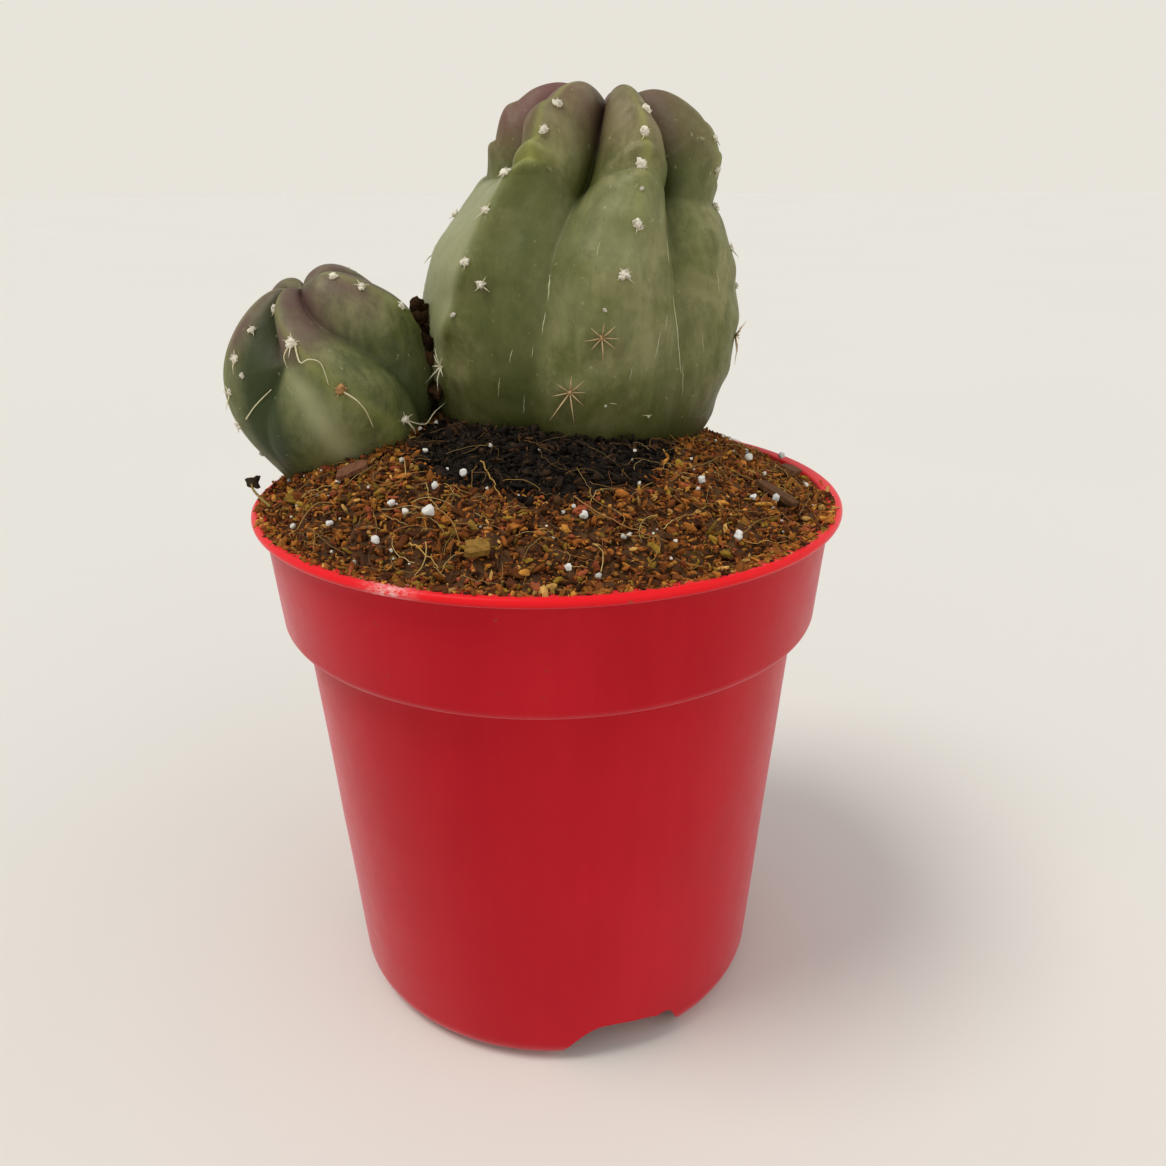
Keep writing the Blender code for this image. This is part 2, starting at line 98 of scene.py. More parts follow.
def store_colour(piece, colours):
    """The colour of each point, for toned_material to read."""
    layer = piece.data.attributes.new("tone", "FLOAT_COLOR", "POINT")
    full = np.ones((len(colours), 4), np.float32)
    full[:, :3] = colours
    layer.data.foreach_set("color", full.ravel())


def grid_faces(rows, columns, capped=False):
    """Quads between rings that close on themselves, with the first and last ring filled if capped."""
    faces = []
    for i in range(rows - 1):
        low, high = i * columns, (i + 1) * columns
        for k in range(columns):
            n = (k + 1) % columns
            faces.append((low + k, low + n, high + n, high + k))
    if capped:
        faces.append(tuple(reversed(range(columns))))
        faces.append(tuple(range((rows - 1) * columns, rows * columns)))
    return faces


def smooth_step(low, high, value):
    """0 below low, 1 above high, with an eased rise between them."""
    t = np.clip((value - low) / (high - low), 0.0, 1.0)
    return t * t * (3 - 2 * t)


def bell(distance, width):
    """1 at no distance, falling to a third at the width."""
    return np.exp(-((distance / width) ** 2))


def turned_from(middle, azimuths):
    """Degrees from the middle azimuth, between -180 and 180."""
    return (azimuths - middle + 180.0) % 360.0 - 180.0


def smooth_rows(rows, steps):
    """Catmull-Rom points through rows of numbers."""
    data = np.array([rows[0], *rows, rows[-1]], float)
    out = []
    for i in range(1, len(data) - 2):
        before, start, end, after = data[i - 1 : i + 3]
        for step in range(steps):
            t = step / steps
            out.append(
                0.5 * (2 * start + (end - before) * t + (2 * before - 5 * start + 4 * end - after) * t**2
                       + (3 * start - before - 3 * end + after) * t**3)
            )
    out.append(data[-1])
    return np.array(out)


def polar(azimuth, radius):
    """x and y at an azimuth and a distance from the axis."""
    turn = np.radians(azimuth)
    return radius * np.sin(turn), -radius * np.cos(turn)


class Lumps:
    """Smooth random lumps: a sum of waves in random directions, about -1 to 1."""

    def __init__(self, seed, size, waves=24):
        draw = np.random.default_rng(seed)
        self.directions = draw.normal(size=(waves, 3))
        self.directions /= np.linalg.norm(self.directions, axis=1)[:, None]
        self.directions *= 2 * math.pi / (size * draw.uniform(0.7, 1.6, waves))[:, None]
        self.phases = draw.uniform(0, 2 * math.pi, waves)

    def __call__(self, points):
        waves = np.sin(np.asarray(points) @ self.directions.T + self.phases)
        return waves.sum(1) / math.sqrt(len(self.phases)) * 0.7


class Batch:
    """Collects many small shapes into one mesh."""

    def __init__(self):
        self.points, self.faces, self.tones, self.count = [], [], [], 0

    def add(self, points, faces, tone=(1.0, 1.0, 1.0)):
        self.points.append(np.asarray(points, float))
        self.faces += [tuple(index + self.count for index in face) for face in faces]
        self.tones.append(np.tile(tone, (len(points), 1)))
        self.count += len(points)

    def build(self, name, material, slot, smooth=True):
        piece = add_piece(name, np.concatenate(self.points), self.faces, material, smooth)
        store_colour(piece, np.concatenate(self.tones))
        return piece


def needle(path, radii, sides=5):
    """A tapered tube along a path, closed at both ends."""
    path = np.asarray(path, float)
    along = np.gradient(path, axis=0)
    along /= np.linalg.norm(along, axis=1)[:, None]
    side = np.cross(along[0], (0.3, 0.5, 0.81))
    points = []
    for place, forward, radius in zip(path, along, radii):
        side = side - forward * np.dot(side, forward)
        side /= np.linalg.norm(side)
        other = np.cross(forward, side)
        for k in range(sides):
            turn = 2 * math.pi * k / sides
            points.append(place + radius * (math.cos(turn) * side + math.sin(turn) * other))
    return points, grid_faces(len(path), sides, capped=True)


# ---------------------------------------------------------------- material helpers


class Shader:
    """A material with a Principled shader, and short calls for the nodes in front of it."""

    def __init__(self, name, **values):
        self.material = bpy.data.materials.new(name)
        self.material.use_nodes = True
        self.tree = self.material.node_tree
        self.shader = self.tree.nodes["Principled BSDF"]
        self.place = self.node("ShaderNodeTexCoord").outputs["Object"]
        for socket, value in values.items():
            self.shader.inputs[socket.replace("_", " ")].default_value = value

    def node(self, kind, **settings):
        made = self.tree.nodes.new(kind)
        for key, value in settings.items():
            setattr(made, key, value)
        return made

    def link(self, source, target):
        self.tree.links.new(source, target)

    def feed(self, socket, value):
        """Gives a socket a number, a colour or another node's output."""
        if isinstance(value, (int, float)):
            socket.default_value = value
        elif isinstance(value, tuple):
            socket.default_value = (*value, 1.0)
        else:
            self.link(value, socket)

    def attribute(self, name, output="Fac"):
        return self.node("ShaderNodeAttribute", attribute_name=name).outputs[output]

    def noise(self, scale, detail=4.0, roughness=0.6, stretch=(1.0, 1.0, 1.0), distortion=0.0):
        mapping = self.node("ShaderNodeMapping")
        mapping.inputs["Scale"].default_value = stretch
        self.link(self.place, mapping.inputs["Vector"])
        noise = self.node("ShaderNodeTexNoise")
        for socket, value in zip(("Scale", "Detail", "Roughness", "Distortion"),
                                 (scale, detail, roughness, distortion)):
            noise.inputs[socket].default_value = value
        self.link(mapping.outputs["Vector"], noise.inputs["Vector"])
        return noise.outputs["Fac"]

    def ramp(self, value, *stops):
        """A number or colour that changes with value, from (position, colour) stops."""
        ramp = self.node("ShaderNodeValToRGB")
        elements = ramp.color_ramp.elements
        while len(elements) < len(stops):
            elements.new(0.5)
        for element, (position, colour) in zip(elements, stops):
            element.position = position
            element.color = (*colour, 1.0) if hasattr(colour, "__len__") else (colour,) * 3 + (1.0,)
        self.link(value, ramp.inputs["Fac"])
        return ramp.outputs["Color"]

    def mix(self, share, a, b, blend="MIX"):
        mix = self.node("ShaderNodeMix", data_type="RGBA", blend_type=blend)
        for value, socket in ((share, 0), (a, 6), (b, 7)):
            self.feed(mix.inputs[socket], value)
        return mix.outputs[2]

    def product(self, a, b):
        maths = self.node("ShaderNodeMath", operation="MULTIPLY", use_clamp=True)
        self.feed(maths.inputs[0], a)
        self.feed(maths.inputs[1], b)
        return maths.outputs["Value"]

    def bump(self, height, strength, distance):
        """Adds a bump over those made before it."""
        bump = self.node("ShaderNodeBump")
        bump.inputs["Strength"].default_value = strength
        bump.inputs["Distance"].default_value = distance
        self.link(height, bump.inputs["Height"])
        earlier = self.shader.inputs["Normal"].links
        if earlier:
            self.link(earlier[0].from_socket, bump.inputs["Normal"])
        self.link(bump.outputs["Normal"], self.shader.inputs["Normal"])

    def colour(self, source):
        self.link(source, self.shader.inputs["Base Color"])

    def roughness(self, source):
        self.link(source, self.shader.inputs["Roughness"])


# ---------------------------------------------------------------- materials

POT_REDS = ((0.42, 0.003, 0.010), (0.50, 0.005, 0.015))
STREAK_RED = (0.64, 0.016, 0.026)
# painted highlight: the lip's brighter red, where its bead catches the light
LIP_HIGHLIGHT_RED = (0.95, 0.012, 0.016)
SOIL_DUST = (0.20, 0.085, 0.035)
CHALKY_SCUFF = (0.80, 0.42, 0.40)
# painted highlight on the stems' lit flanks and folds
HIGHLIGHT_SKIN = (0.300, 0.305, 0.155)
CREST_SKIN = (0.340, 0.370, 0.080)
SKIN_FLECKS = (0.36, 0.38, 0.20)


def pot_material():
    """Thin red polypropylene: satin, faintly streaked, chalky scuffs, a little soil dust and a painted
    highlight on the lip.
    """
    made = Shader("red_polypropylene", IOR=1.49, Specular_IOR_Level=0.10, Sheen_Weight=0.36,
                  Sheen_Roughness=0.35, Subsurface_Weight=0.12, Subsurface_Scale=0.002)
    made.shader.inputs["Subsurface Radius"].default_value = (1.0, 0.12, 0.08)
    made.shader.inputs["Sheen Tint"].default_value = (1.0, 0.58, 0.64, 1.0)
    broad = made.noise(18.0, 3.0)
    streaks = made.noise(60.0, 4.0, stretch=(1.0, 1.0, 0.08))
    red = made.ramp(broad, (0.30, POT_REDS[0]), (0.70, POT_REDS[1]))
    red = made.mix(made.ramp(streaks, (0.45, 0.0), (0.75, 0.30)), red, STREAK_RED)
    # painted highlight: the lip band is mixed towards a brighter red
    red = made.mix(made.attribute("lip"), red, LIP_HIGHLIGHT_RED)
    specks = made.ramp(made.noise(420.0, 3.0, 0.7), (0.66, 0.0), (0.74, 0.5))
    red = made.mix(made.product(specks, made.attribute("dust")), red, SOIL_DUST)
    scuffs = made.ramp(made.noise(900.0, 5.0, 0.75, stretch=(1.0, 1.0, 2.5)), (0.40, 0.0), (0.60, 1.0))
    red = made.mix(made.product(scuffs, made.attribute("scuff")), red, CHALKY_SCUFF)
    made.colour(red)
    made.roughness(made.ramp(made.noise(140.0, 5.0, 0.7), (0.30, 0.30), (0.75, 0.44)))
    made.bump(streaks, 0.10, 0.0002)
    made.bump(made.noise(1500.0, 2.0), 0.06, 0.00005)
    return made.material


def skin_material(name, green, bloom, deep, purple):
    """Waxy cactus skin. Each point carries how deep in a furrow, how low, how young, how much painted
    highlight and how near a crest it is. Painted shade darkens the furrows, faces turned from the light
    and the skin towards the soil."""
    made = Shader(name, IOR=1.42, Specular_IOR_Level=0.3, Subsurface_Weight=0.08, Subsurface_Scale=0.0012)
    made.shader.inputs["Subsurface Radius"].default_value = (0.6, 1.0, 0.25)
    patches = made.noise(70.0, 5.0, 0.65, distortion=0.6)
    mottle = made.noise(230.0, 5.0, 0.7, stretch=(1.0, 1.0, 0.5), distortion=0.3)
    streaks = made.noise(420.0, 4.0, 0.65, stretch=(1.0, 1.0, 0.12))
    skin = made.mix(made.ramp(patches, (0.38, 0.0), (0.62, 1.0)), green, bloom)
    skin = made.mix(made.ramp(mottle, (0.42, 0.0), (0.62, 0.55)), skin, deep)
    brighter = tuple(1.3 * part for part in bloom)
    skin = made.mix(made.ramp(streaks, (0.54, 0.0), (0.72, 0.22)), skin, brighter)
    # painted shade: the furrow mask darkens the skin towards the deep colour
    skin = made.mix(made.attribute("furrow"), skin, deep)
    # painted shade: darker towards the soil
    foot = (0.42 * deep[0], 0.36 * deep[1], 0.14 * deep[2])
    skin = made.mix(made.attribute("low"), skin, foot)
    young = made.product(made.attribute("young"), made.ramp(patches, (0.30, 1.0), (0.75, 0.45)))
    skin = made.mix(young, skin, purple)
    # painted highlight from the light mask
    skin = made.mix(made.attribute("light"), skin, HIGHLIGHT_SKIN)
    skin = made.mix(made.attribute("crest"), skin, CREST_SKIN)
    flecks = made.ramp(made.noise(700.0, 2.0, 0.5), (0.70, 0.0), (0.76, 0.45))
    skin = made.mix(flecks, skin, SKIN_FLECKS)
    made.colour(skin)
    made.roughness(made.ramp(mottle, (0.30, 0.44), (0.72, 0.58)))
    made.bump(made.noise(130.0, 4.0, 0.6), 0.45, 0.0009)
    made.bump(streaks, 0.15, 0.0002)
    made.bump(made.noise(1300.0, 3.0, 0.6), 0.12, 0.00012)
    return made.material


def toned_material(name, roughness, bump_scale, bump_depth, vary=0.35, specular=0.12):
    """A dry rough surface whose colour comes with each shape, varied by noise."""
    made = Shader(name, Specular_IOR_Level=specular)
    grain = made.noise(bump_scale, 4.0, 0.7)
    tone = made.attribute("tone", "Color")
    dark = made.mix(1.0, tone, (0.45, 0.42, 0.40), "MULTIPLY")
    made.colour(made.mix(made.ramp(grain, (0.35, vary * 2), (0.60, 0.0)), tone, dark))
    made.roughness(made.ramp(grain, (0.30, roughness - 0.12), (0.70, roughness)))
    made.bump(grain, 0.6, bump_depth)
    return made.material


# ---------------------------------------------------------------- pot

# Sizes of the pot's section, as in the frame but with a thinner wall
LIP_HEIGHT = 1.8
LIP_OVERHANG = 2.3
LIP_ROUNDING = 0.95
INNER_LIP_ROUNDING = 0.5
WALL = 0.8
COLLAR_TAPER = 1.8
COLLAR_HEIGHT = 22.3
COLLAR_BOTTOM = POT_TOP - COLLAR_HEIGHT
SHOULDER = (4.0, 2.7)  # across, up
BODY_TAPER = 6.5
FOOT_ROUNDING = 5.4
FOOT_FLAT = 1.2
PLATE_LEVEL = 6.5
PLATE_THICKNESS = 1.2
PLATE_MIDDLE = 20.0
COLLAR_TOP_RADIUS = RIM - LIP_OVERHANG
BODY_TOP_RADIUS = COLLAR_TOP_RADIUS - COLLAR_TAPER - SHOULDER[0]
JUNCTION = COLLAR_BOTTOM - SHOULDER[1]
POT_SEGMENTS = 288
POT_SWAY = 0.22
SCUFF_AZIMUTH = -26.0
SCUFF_WIDTH = 3.5
# how strongly the lip gets its painted highlight
LIP_HIGHLIGHT_SHARE = 0.65
SHARP_ANGLE = 38
NOTCHES = (18.5, 138.5, 258.5)
NOTCH_DEPTH = 8.0
# outline of a drain notch: across, up
NOTCH_OUTLINE = (
    (-15.6, -2.0), (-14.5, 0.0), (-13.2, 2.9), (-11.2, 5.4), (-8.8, 7.4), (-6.8, 8.4), (-4.6, 8.7),
    (0.0, 8.3), (4.0, 7.8), (6.6, 7.1), (7.4, 7.3), (9.4, 7.2), (10.6, 6.0), (11.8, 3.6), (14.5, 0.0),
    (15.5, -2.0),
)


def body_radius(level):
    """Outer radius of the tapered body at a level over the floor."""
    return BODY_TOP_RADIUS - BODY_TAPER * (1.0 - level / JUNCTION)


def arc(centre, radii, start, end, steps):
    turns = np.radians(np.linspace(start, end, steps + 1))
    return [(centre[0] + radii[0] * math.cos(t), centre[1] + radii[1] * math.sin(t)) for t in turns]


def pot_profile():
    """The whole section, from the middle under the base plate, out, up, over the lip and down inside."""
    foot = body_radius(FOOT_ROUNDING) - FOOT_ROUNDING
    inside_foot = body_radius(PLATE_LEVEL) - 2 * WALL
    section = [(0.0, PLATE_LEVEL), (PLATE_MIDDLE, PLATE_LEVEL), (inside_foot, PLATE_LEVEL)]
    section += [(inside_foot - 0.3, PLATE_LEVEL - 0.6), (inside_foot - 1.0, 2.0), (foot - FOOT_FLAT, 0.0)]
    section += arc((foot, FOOT_ROUNDING), (FOOT_ROUNDING, FOOT_ROUNDING), -90, 0, 10)
    section += [(body_radius(level), level) for level in np.linspace(9.0, JUNCTION - 0.6, 30)]
    section += [(BODY_TOP_RADIUS + 0.08, JUNCTION - 0.25)]
    section += arc((BODY_TOP_RADIUS, COLLAR_BOTTOM), SHOULDER, -84, 0, 10)
    bottom = COLLAR_TOP_RADIUS - COLLAR_TAPER
    for share in np.linspace(0.08, 0.97, 10):
        level = COLLAR_BOTTOM + (COLLAR_HEIGHT - LIP_HEIGHT) * share
        section.append((bottom + COLLAR_TAPER * share, level))
    section += [(COLLAR_TOP_RADIUS + 0.15, POT_TOP - LIP_HEIGHT - 0.15)]
    lip, inner = LIP_ROUNDING, INNER_LIP_ROUNDING
    section += arc((RIM - lip, POT_TOP - lip), (lip, lip), -100, 95, 12)
    section += arc((COLLAR_TOP_RADIUS - WALL + inner, POT_TOP - 0.6), (inner, inner), 100, 180, 4)
    section += [(COLLAR_TOP_RADIUS - WALL - 0.6, POT_TOP - 9.0), (bottom - WALL, COLLAR_BOTTOM + 0.6)]
    section += [(BODY_TOP_RADIUS - WALL, JUNCTION), (body_radius(40.0) - WALL, 40.0)]
    plate_top = PLATE_LEVEL + PLATE_THICKNESS
    section += [(body_radius(9.0) - WALL, 8.5), (PLATE_MIDDLE, plate_top), (0.0, plate_top)]
    return np.array(section)


def notch_cutter(index, azimuth):
    """A prism that runs out through the foot, with its top corners rounded."""
    outline = smooth_rows(NOTCH_OUTLINE, 3)
    depths = (body_radius(0.0) - NOTCH_DEPTH, RIM)
    points = np.array([(x, -depth, z) for depth in depths for x, z in outline])
    points = points @ np.array(Matrix.Rotation(math.radians(azimuth), 3, "Z")).T
    mesh = make_mesh(f"notch_{index}", points, grid_faces(2, len(outline), capped=True))
    fix = bmesh.new()
    fix.from_mesh(mesh)
    bmesh.ops.recalc_face_normals(fix, faces=fix.faces)
    fix.to_mesh(mesh)
    fix.free()
    return add_object(f"notch_{index}", mesh)


def make_pot():
    """The whole pot in one shell, a little out of round, with its notches cut."""
    section = pot_profile()
    azimuths = np.arange(POT_SEGMENTS) * 360.0 / POT_SEGMENTS
    sway = Lumps(5, 70.0)
    points, dust, scuff, lip = [], [], [], []
    for radius, level in section:
        radius = max(radius, 0.4)
        ring = np.array([(*polar(a, radius), level) for a in azimuths])
        push = POT_SWAY * sway(ring) * min(1.0, level / 40.0) * (radius > 45.0)
        ring[:, :2] *= (1.0 - np.abs(push[:, None]) / radius)
        points.append(ring)
        levels = np.full(len(azimuths), level)
        dust.append(smooth_step(POT_TOP - 30.0, POT_TOP, levels))
        # the lip band that gets the painted highlight
        lip.append(smooth_step(POT_TOP - LIP_HEIGHT - 0.3, POT_TOP - 0.9, levels))
        on_lip = level > POT_TOP - LIP_HEIGHT - 0.2
        scuff.append(on_lip * bell(turned_from(SCUFF_AZIMUTH, azimuths), SCUFF_WIDTH))
    pot = add_piece("pot_shell", np.concatenate(points), grid_faces(len(section), POT_SEGMENTS),
                    pot_material())
    mesh = bmesh.new()
    mesh.from_mesh(pot.data)
    mesh.verts.ensure_lookup_table()
    for start in (0, (len(section) - 1) * POT_SEGMENTS):
        ring = [mesh.verts[start + k] for k in range(POT_SEGMENTS)]
        mesh.faces.new(ring if start else list(reversed(ring)))
    bmesh.ops.recalc_face_normals(mesh, faces=mesh.faces)
    mesh.to_mesh(pot.data)
    mesh.free()
    store(pot, "dust", np.concatenate(dust))
    store(pot, "scuff", np.concatenate(scuff))
    # painted highlight on the lip, stored in the lip attribute
    store(pot, "lip", np.concatenate(lip) * LIP_HIGHLIGHT_SHARE)
    cutters = [notch_cutter(index, azimuth) for index, azimuth in enumerate(NOTCHES)]
    for cutter in cutters:
        cut = pot.modifiers.new(cutter.name, "BOOLEAN")
        cut.operation = "DIFFERENCE"
        cut.object = cutter
    apply_modifiers(pot)
    for cutter in cutters:
        bpy.data.objects.remove(cutter)
    pot.data.shade_smooth()
    pot.data.set_sharp_from_angle(angle=math.radians(SHARP_ANGLE))
    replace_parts(pot, "pot")


def apply_modifiers(piece):
    """Bakes the piece's modifiers into its mesh."""
    graph = bpy.context.evaluated_depsgraph_get()
    mesh = bpy.data.meshes.new_from_object(piece.evaluated_get(graph))
    piece.modifiers.clear()
    piece.data = mesh


# ---------------------------------------------------------------- mound of mix

MIX_RADIUS = RIM - LIP_OVERHANG - 1.3
MOUND_CENTRE = (-4.0, 2.0)
MOUND_HEIGHT = 16.0
MOUND_EDGE = 5.0  # past the mix's edge, where the mound would reach its foot
MOUND_POWER = 1.2
MIX_BELOW_LIP = 0.5
CORNER_SINK = 2.2
# the small heap against the offset: middle, reach, height
HEAP = ((-43.0, -1.0), (11.0, 9.0), 1.6)
PEAT_CENTRE = ((PLUG_LOW.x + PLUG_HIGH.x) / 2 - AXIS_X, (PLUG_LOW.y + PLUG_HIGH.y) / 2 - AXIS_Y)
PEAT_RADIUS = (PLUG_HIGH.x - PLUG_LOW.x) / 2


def far_corner(x, y):
    """1 at the back right, where the mix has sunk below the lip, 0 at the front and left."""
    return smooth_step(0.15, 0.9, (np.asarray(x) * 0.5 + np.asarray(y) * 0.87) / MIX_RADIUS)


def mound(x, y):
    """Height of the mix's mean surface over the floor."""
    x, y = np.asarray(x, float), np.asarray(y, float)
    away = np.hypot(x - MOUND_CENTRE[0], y - MOUND_CENTRE[1])
    rise = np.maximum(0.0, 1.0 - (away / (MIX_RADIUS + MOUND_EDGE)) ** 2) ** MOUND_POWER
    level = POT_TOP - MIX_BELOW_LIP + MOUND_HEIGHT * rise
    (heap_x, heap_y), (reach_x, reach_y), heap_height = HEAP
    level = level + heap_height * np.exp(-(((x - heap_x) / reach_x) ** 2 + ((y - heap_y) / reach_y) ** 2))
    edge = smooth_step(0.84, 1.0, np.hypot(x, y) / MIX_RADIUS)
    return level + (POT_TOP + 0.3 - CORNER_SINK * far_corner(x, y) - level) * edge * edge


def peat_share(x, y):
    """1 inside the dark peat, 0 well outside it."""
    away = np.hypot(np.asarray(x) - PEAT_CENTRE[0], np.asarray(y) - PEAT_CENTRE[1])
    return 1.0 - smooth_step(PEAT_RADIUS - 5.0, PEAT_RADIUS + 1.0, away)


# colours and how often each comes
MIX_TONES = (
    ((0.302, 0.096, 0.017), 5), ((0.185, 0.056, 0.012), 5), ((0.414, 0.146, 0.025), 4),
    ((0.078, 0.025, 0.008), 4), ((0.515, 0.224, 0.036), 2), ((0.302, 0.174, 0.022), 2),
    ((0.325, 0.078, 0.029), 2), ((0.627, 0.347, 0.095), 1),
)
PEAT_TONES = (
    ((0.012, 0.008, 0.005), 6), ((0.022, 0.013, 0.008), 4), ((0.042, 0.024, 0.012), 2),
    ((0.090, 0.042, 0.016), 1),
)
# the imported layer under the crumbs; its browns are darker than the crumbs, painted shade in the gaps
# between them
BED_SHADE_TONES = np.array(((0.050, 0.022, 0.010), (0.120, 0.055, 0.020)))
BED_PEAT = np.array((0.012, 0.009, 0.007))
BED_DEPTH = 16.0


def pick(draw, tones):
    """One of the tones by its weight, lighter or darker."""
    weights = np.array([weight for _, weight in tones], float)
    tone = np.array(tones[draw.choice(len(tones), p=weights / weights.sum())][0])
    return tone * draw.uniform(0.50, 1.40)


def make_mix_surface(material):
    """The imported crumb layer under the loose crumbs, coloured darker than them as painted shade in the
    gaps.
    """
    rings, columns = 110, 320
    azimuths = np.arange(columns) * 360.0 / columns
    coarse, fine = Lumps(11, 6.0, 40), Lumps(12, 2.2, 60)
    points = []
    for share in np.linspace(0.004, 1.0, rings):
        x, y = polar(azimuths, MIX_RADIUS * share)
        flat = np.stack([x, y, mound(x, y)], 1)
        rise = 0.55 * coarse(flat) + 0.50 * fine(flat) - 0.9
        flat[:, 2] += rise * (1.0 - 0.6 * smooth_step(0.95, 1.0, share))
        points.append(flat)
    rim = points[-1].copy()
    rim[:, 2] = POT_TOP - BED_DEPTH
    rim[:, :2] *= 0.985
    points.append(rim)
    points = np.concatenate(points)
    faces = grid_faces(rings + 1, columns, capped=True)
    surface = add_piece("mix_surface", points, faces, material)
    peat = peat_share(points[:, 0], points[:, 1])[:, None]
    speckle = (0.5 + 0.5 * Lumps(13, 3.0, 50)(points))[:, None]
    # painted shade: the bed's browns are darker than the crumbs over it
    brown = BED_SHADE_TONES[0] * (1 - speckle) + BED_SHADE_TONES[1] * speckle
    store_colour(surface, brown * (1 - peat) + BED_PEAT * peat)
    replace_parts(surface, "potting_mix", "peat_plug")


# least and greatest length, breadth and thickness
CRUMB_PROPORTIONS = ((0.8, 0.50, 0.35), (1.8, 0.95, 0.65))
GRAIN_PROPORTIONS = ((0.85, 0.80, 0.70), (1.15, 1.05, 1.00))
EDGE_CRUMBS = 0.16  # share that is spilled along the lip
EDGE_REACH = (2.4, 1.8)  # how far past the mix's edge, and their spread inwards
FARTHEST_CRUMB = (2.5, 1.8)  # past the mix's edge, and how much less at the far corner
# middle and radius of what each stem hides
STEM_SPOTS = ((8.5, 19.0, 24.0), (-41.0, 11.5, 11.0))


def crumb_shapes(subdivisions, count, seed, proportions=GRAIN_PROPORTIONS):
    """Irregular lumps, about 1 across."""
    shapes = []
    for index in range(count):
        draw = np.random.default_rng(seed + index)
        ball = bmesh.new()
        bmesh.ops.create_icosphere(ball, subdivisions=subdivisions, radius=0.5)
        points = np.array([v.co for v in ball.verts])
        faces = [tuple(v.index for v in face.verts) for face in ball.faces]
        ball.free()
        lumps = Lumps(seed + 50 + index, 0.7, 10)
        points *= (1.0 + 0.42 * lumps(points) + draw.uniform(-0.2, 0.2, len(points)))[:, None]
        shapes.append((points * draw.uniform(*proportions), faces))
    return shapes


def random_turn(draw):
    """A rotation matrix about a random axis."""
    axis = draw.normal(size=3)
    return np.array(Matrix.Rotation(draw.uniform(0, 2 * math.pi), 3, Vector(axis)))


def outside_stems(x, y):
    """Whether something there would show: not under the middle of a stem."""
    return all(math.hypot(x - spot_x, y - spot_y) >= radius for spot_x, spot_y, radius in STEM_SPOTS)


def scatter_crumbs(name, material, count, sizes, subdivisions, seed, lift):
    """Crumbs over the mound, outside the stems, in their own colours."""
    draw = np.random.default_rng(seed)
    shapes = crumb_shapes(subdivisions, 12, seed * 10, CRUMB_PROPORTIONS)
    batch = Batch()
    for _ in range(count):
        away = MIX_RADIUS * math.sqrt(draw.uniform(0.0, 1.0))
        azimuth = draw.uniform(0.0, 360.0)
        if draw.uniform() < EDGE_CRUMBS:
            away = MIX_RADIUS + EDGE_REACH[0] - abs(draw.normal()) * EDGE_REACH[1]
        size = sizes[0] + (sizes[1] - sizes[0]) * draw.uniform() ** 2
        farthest = MIX_RADIUS + FARTHEST_CRUMB[0] - FARTHEST_CRUMB[1] * far_corner(*polar(azimuth, away))
        away = min(away, farthest - size * 0.45)
        x, y = polar(azimuth, away)
        shape, faces = shapes[draw.integers(len(shapes))]
        turn = random_turn(draw)
        tone = pick(draw, PEAT_TONES if draw.uniform() < float(peat_share(x, y)) else MIX_TONES)
        if not outside_stems(x, y):
            continue
        points = shape @ turn.T * size + (x, y, float(mound(x, y)) - 0.75 + lift + size * 0.22)
        batch.add(points, faces, tone)
    batch.build(name, material, "mix", smooth=subdivisions > 1)


# azimuth and share of the mix's radius along each of the longer fibres that the frame has
LONG_FIBRES = (
    ((7, 0.63), (12, 0.71), (18, 0.79), (24, 0.86)), ((-28, 0.89), (-24, 0.91), (-20, 0.945)),
    ((-30, 0.735), (-23, 0.77), (-18, 0.86)), ((-27, 0.475), (-19, 0.56), (-14, 0.635)),
    ((44, 0.78), (52, 0.845), (57, 0.88)), ((40, 0.91), (48, 0.88), (58, 0.90)),
    ((52, 0.58), (63, 0.60), (77, 0.63)), ((62, 0.94), (72, 0.94), (80, 0.945)),
    ((-55, 0.94), (-46, 0.955), (-40, 0.965)), ((-128, 0.93), (-135, 0.90), (-142, 0.93)),
)
FIBRE_TONES = (
    ((0.42, 0.25, 0.065), 4), ((0.30, 0.15, 0.040), 4), ((0.55, 0.38, 0.13), 2), ((0.14, 0.06, 0.02), 3),
)
SHORT_FIBRES = 640
FIBRE_STOPS = 9
FIBRE_LIMIT = MIX_RADIUS - 0.6


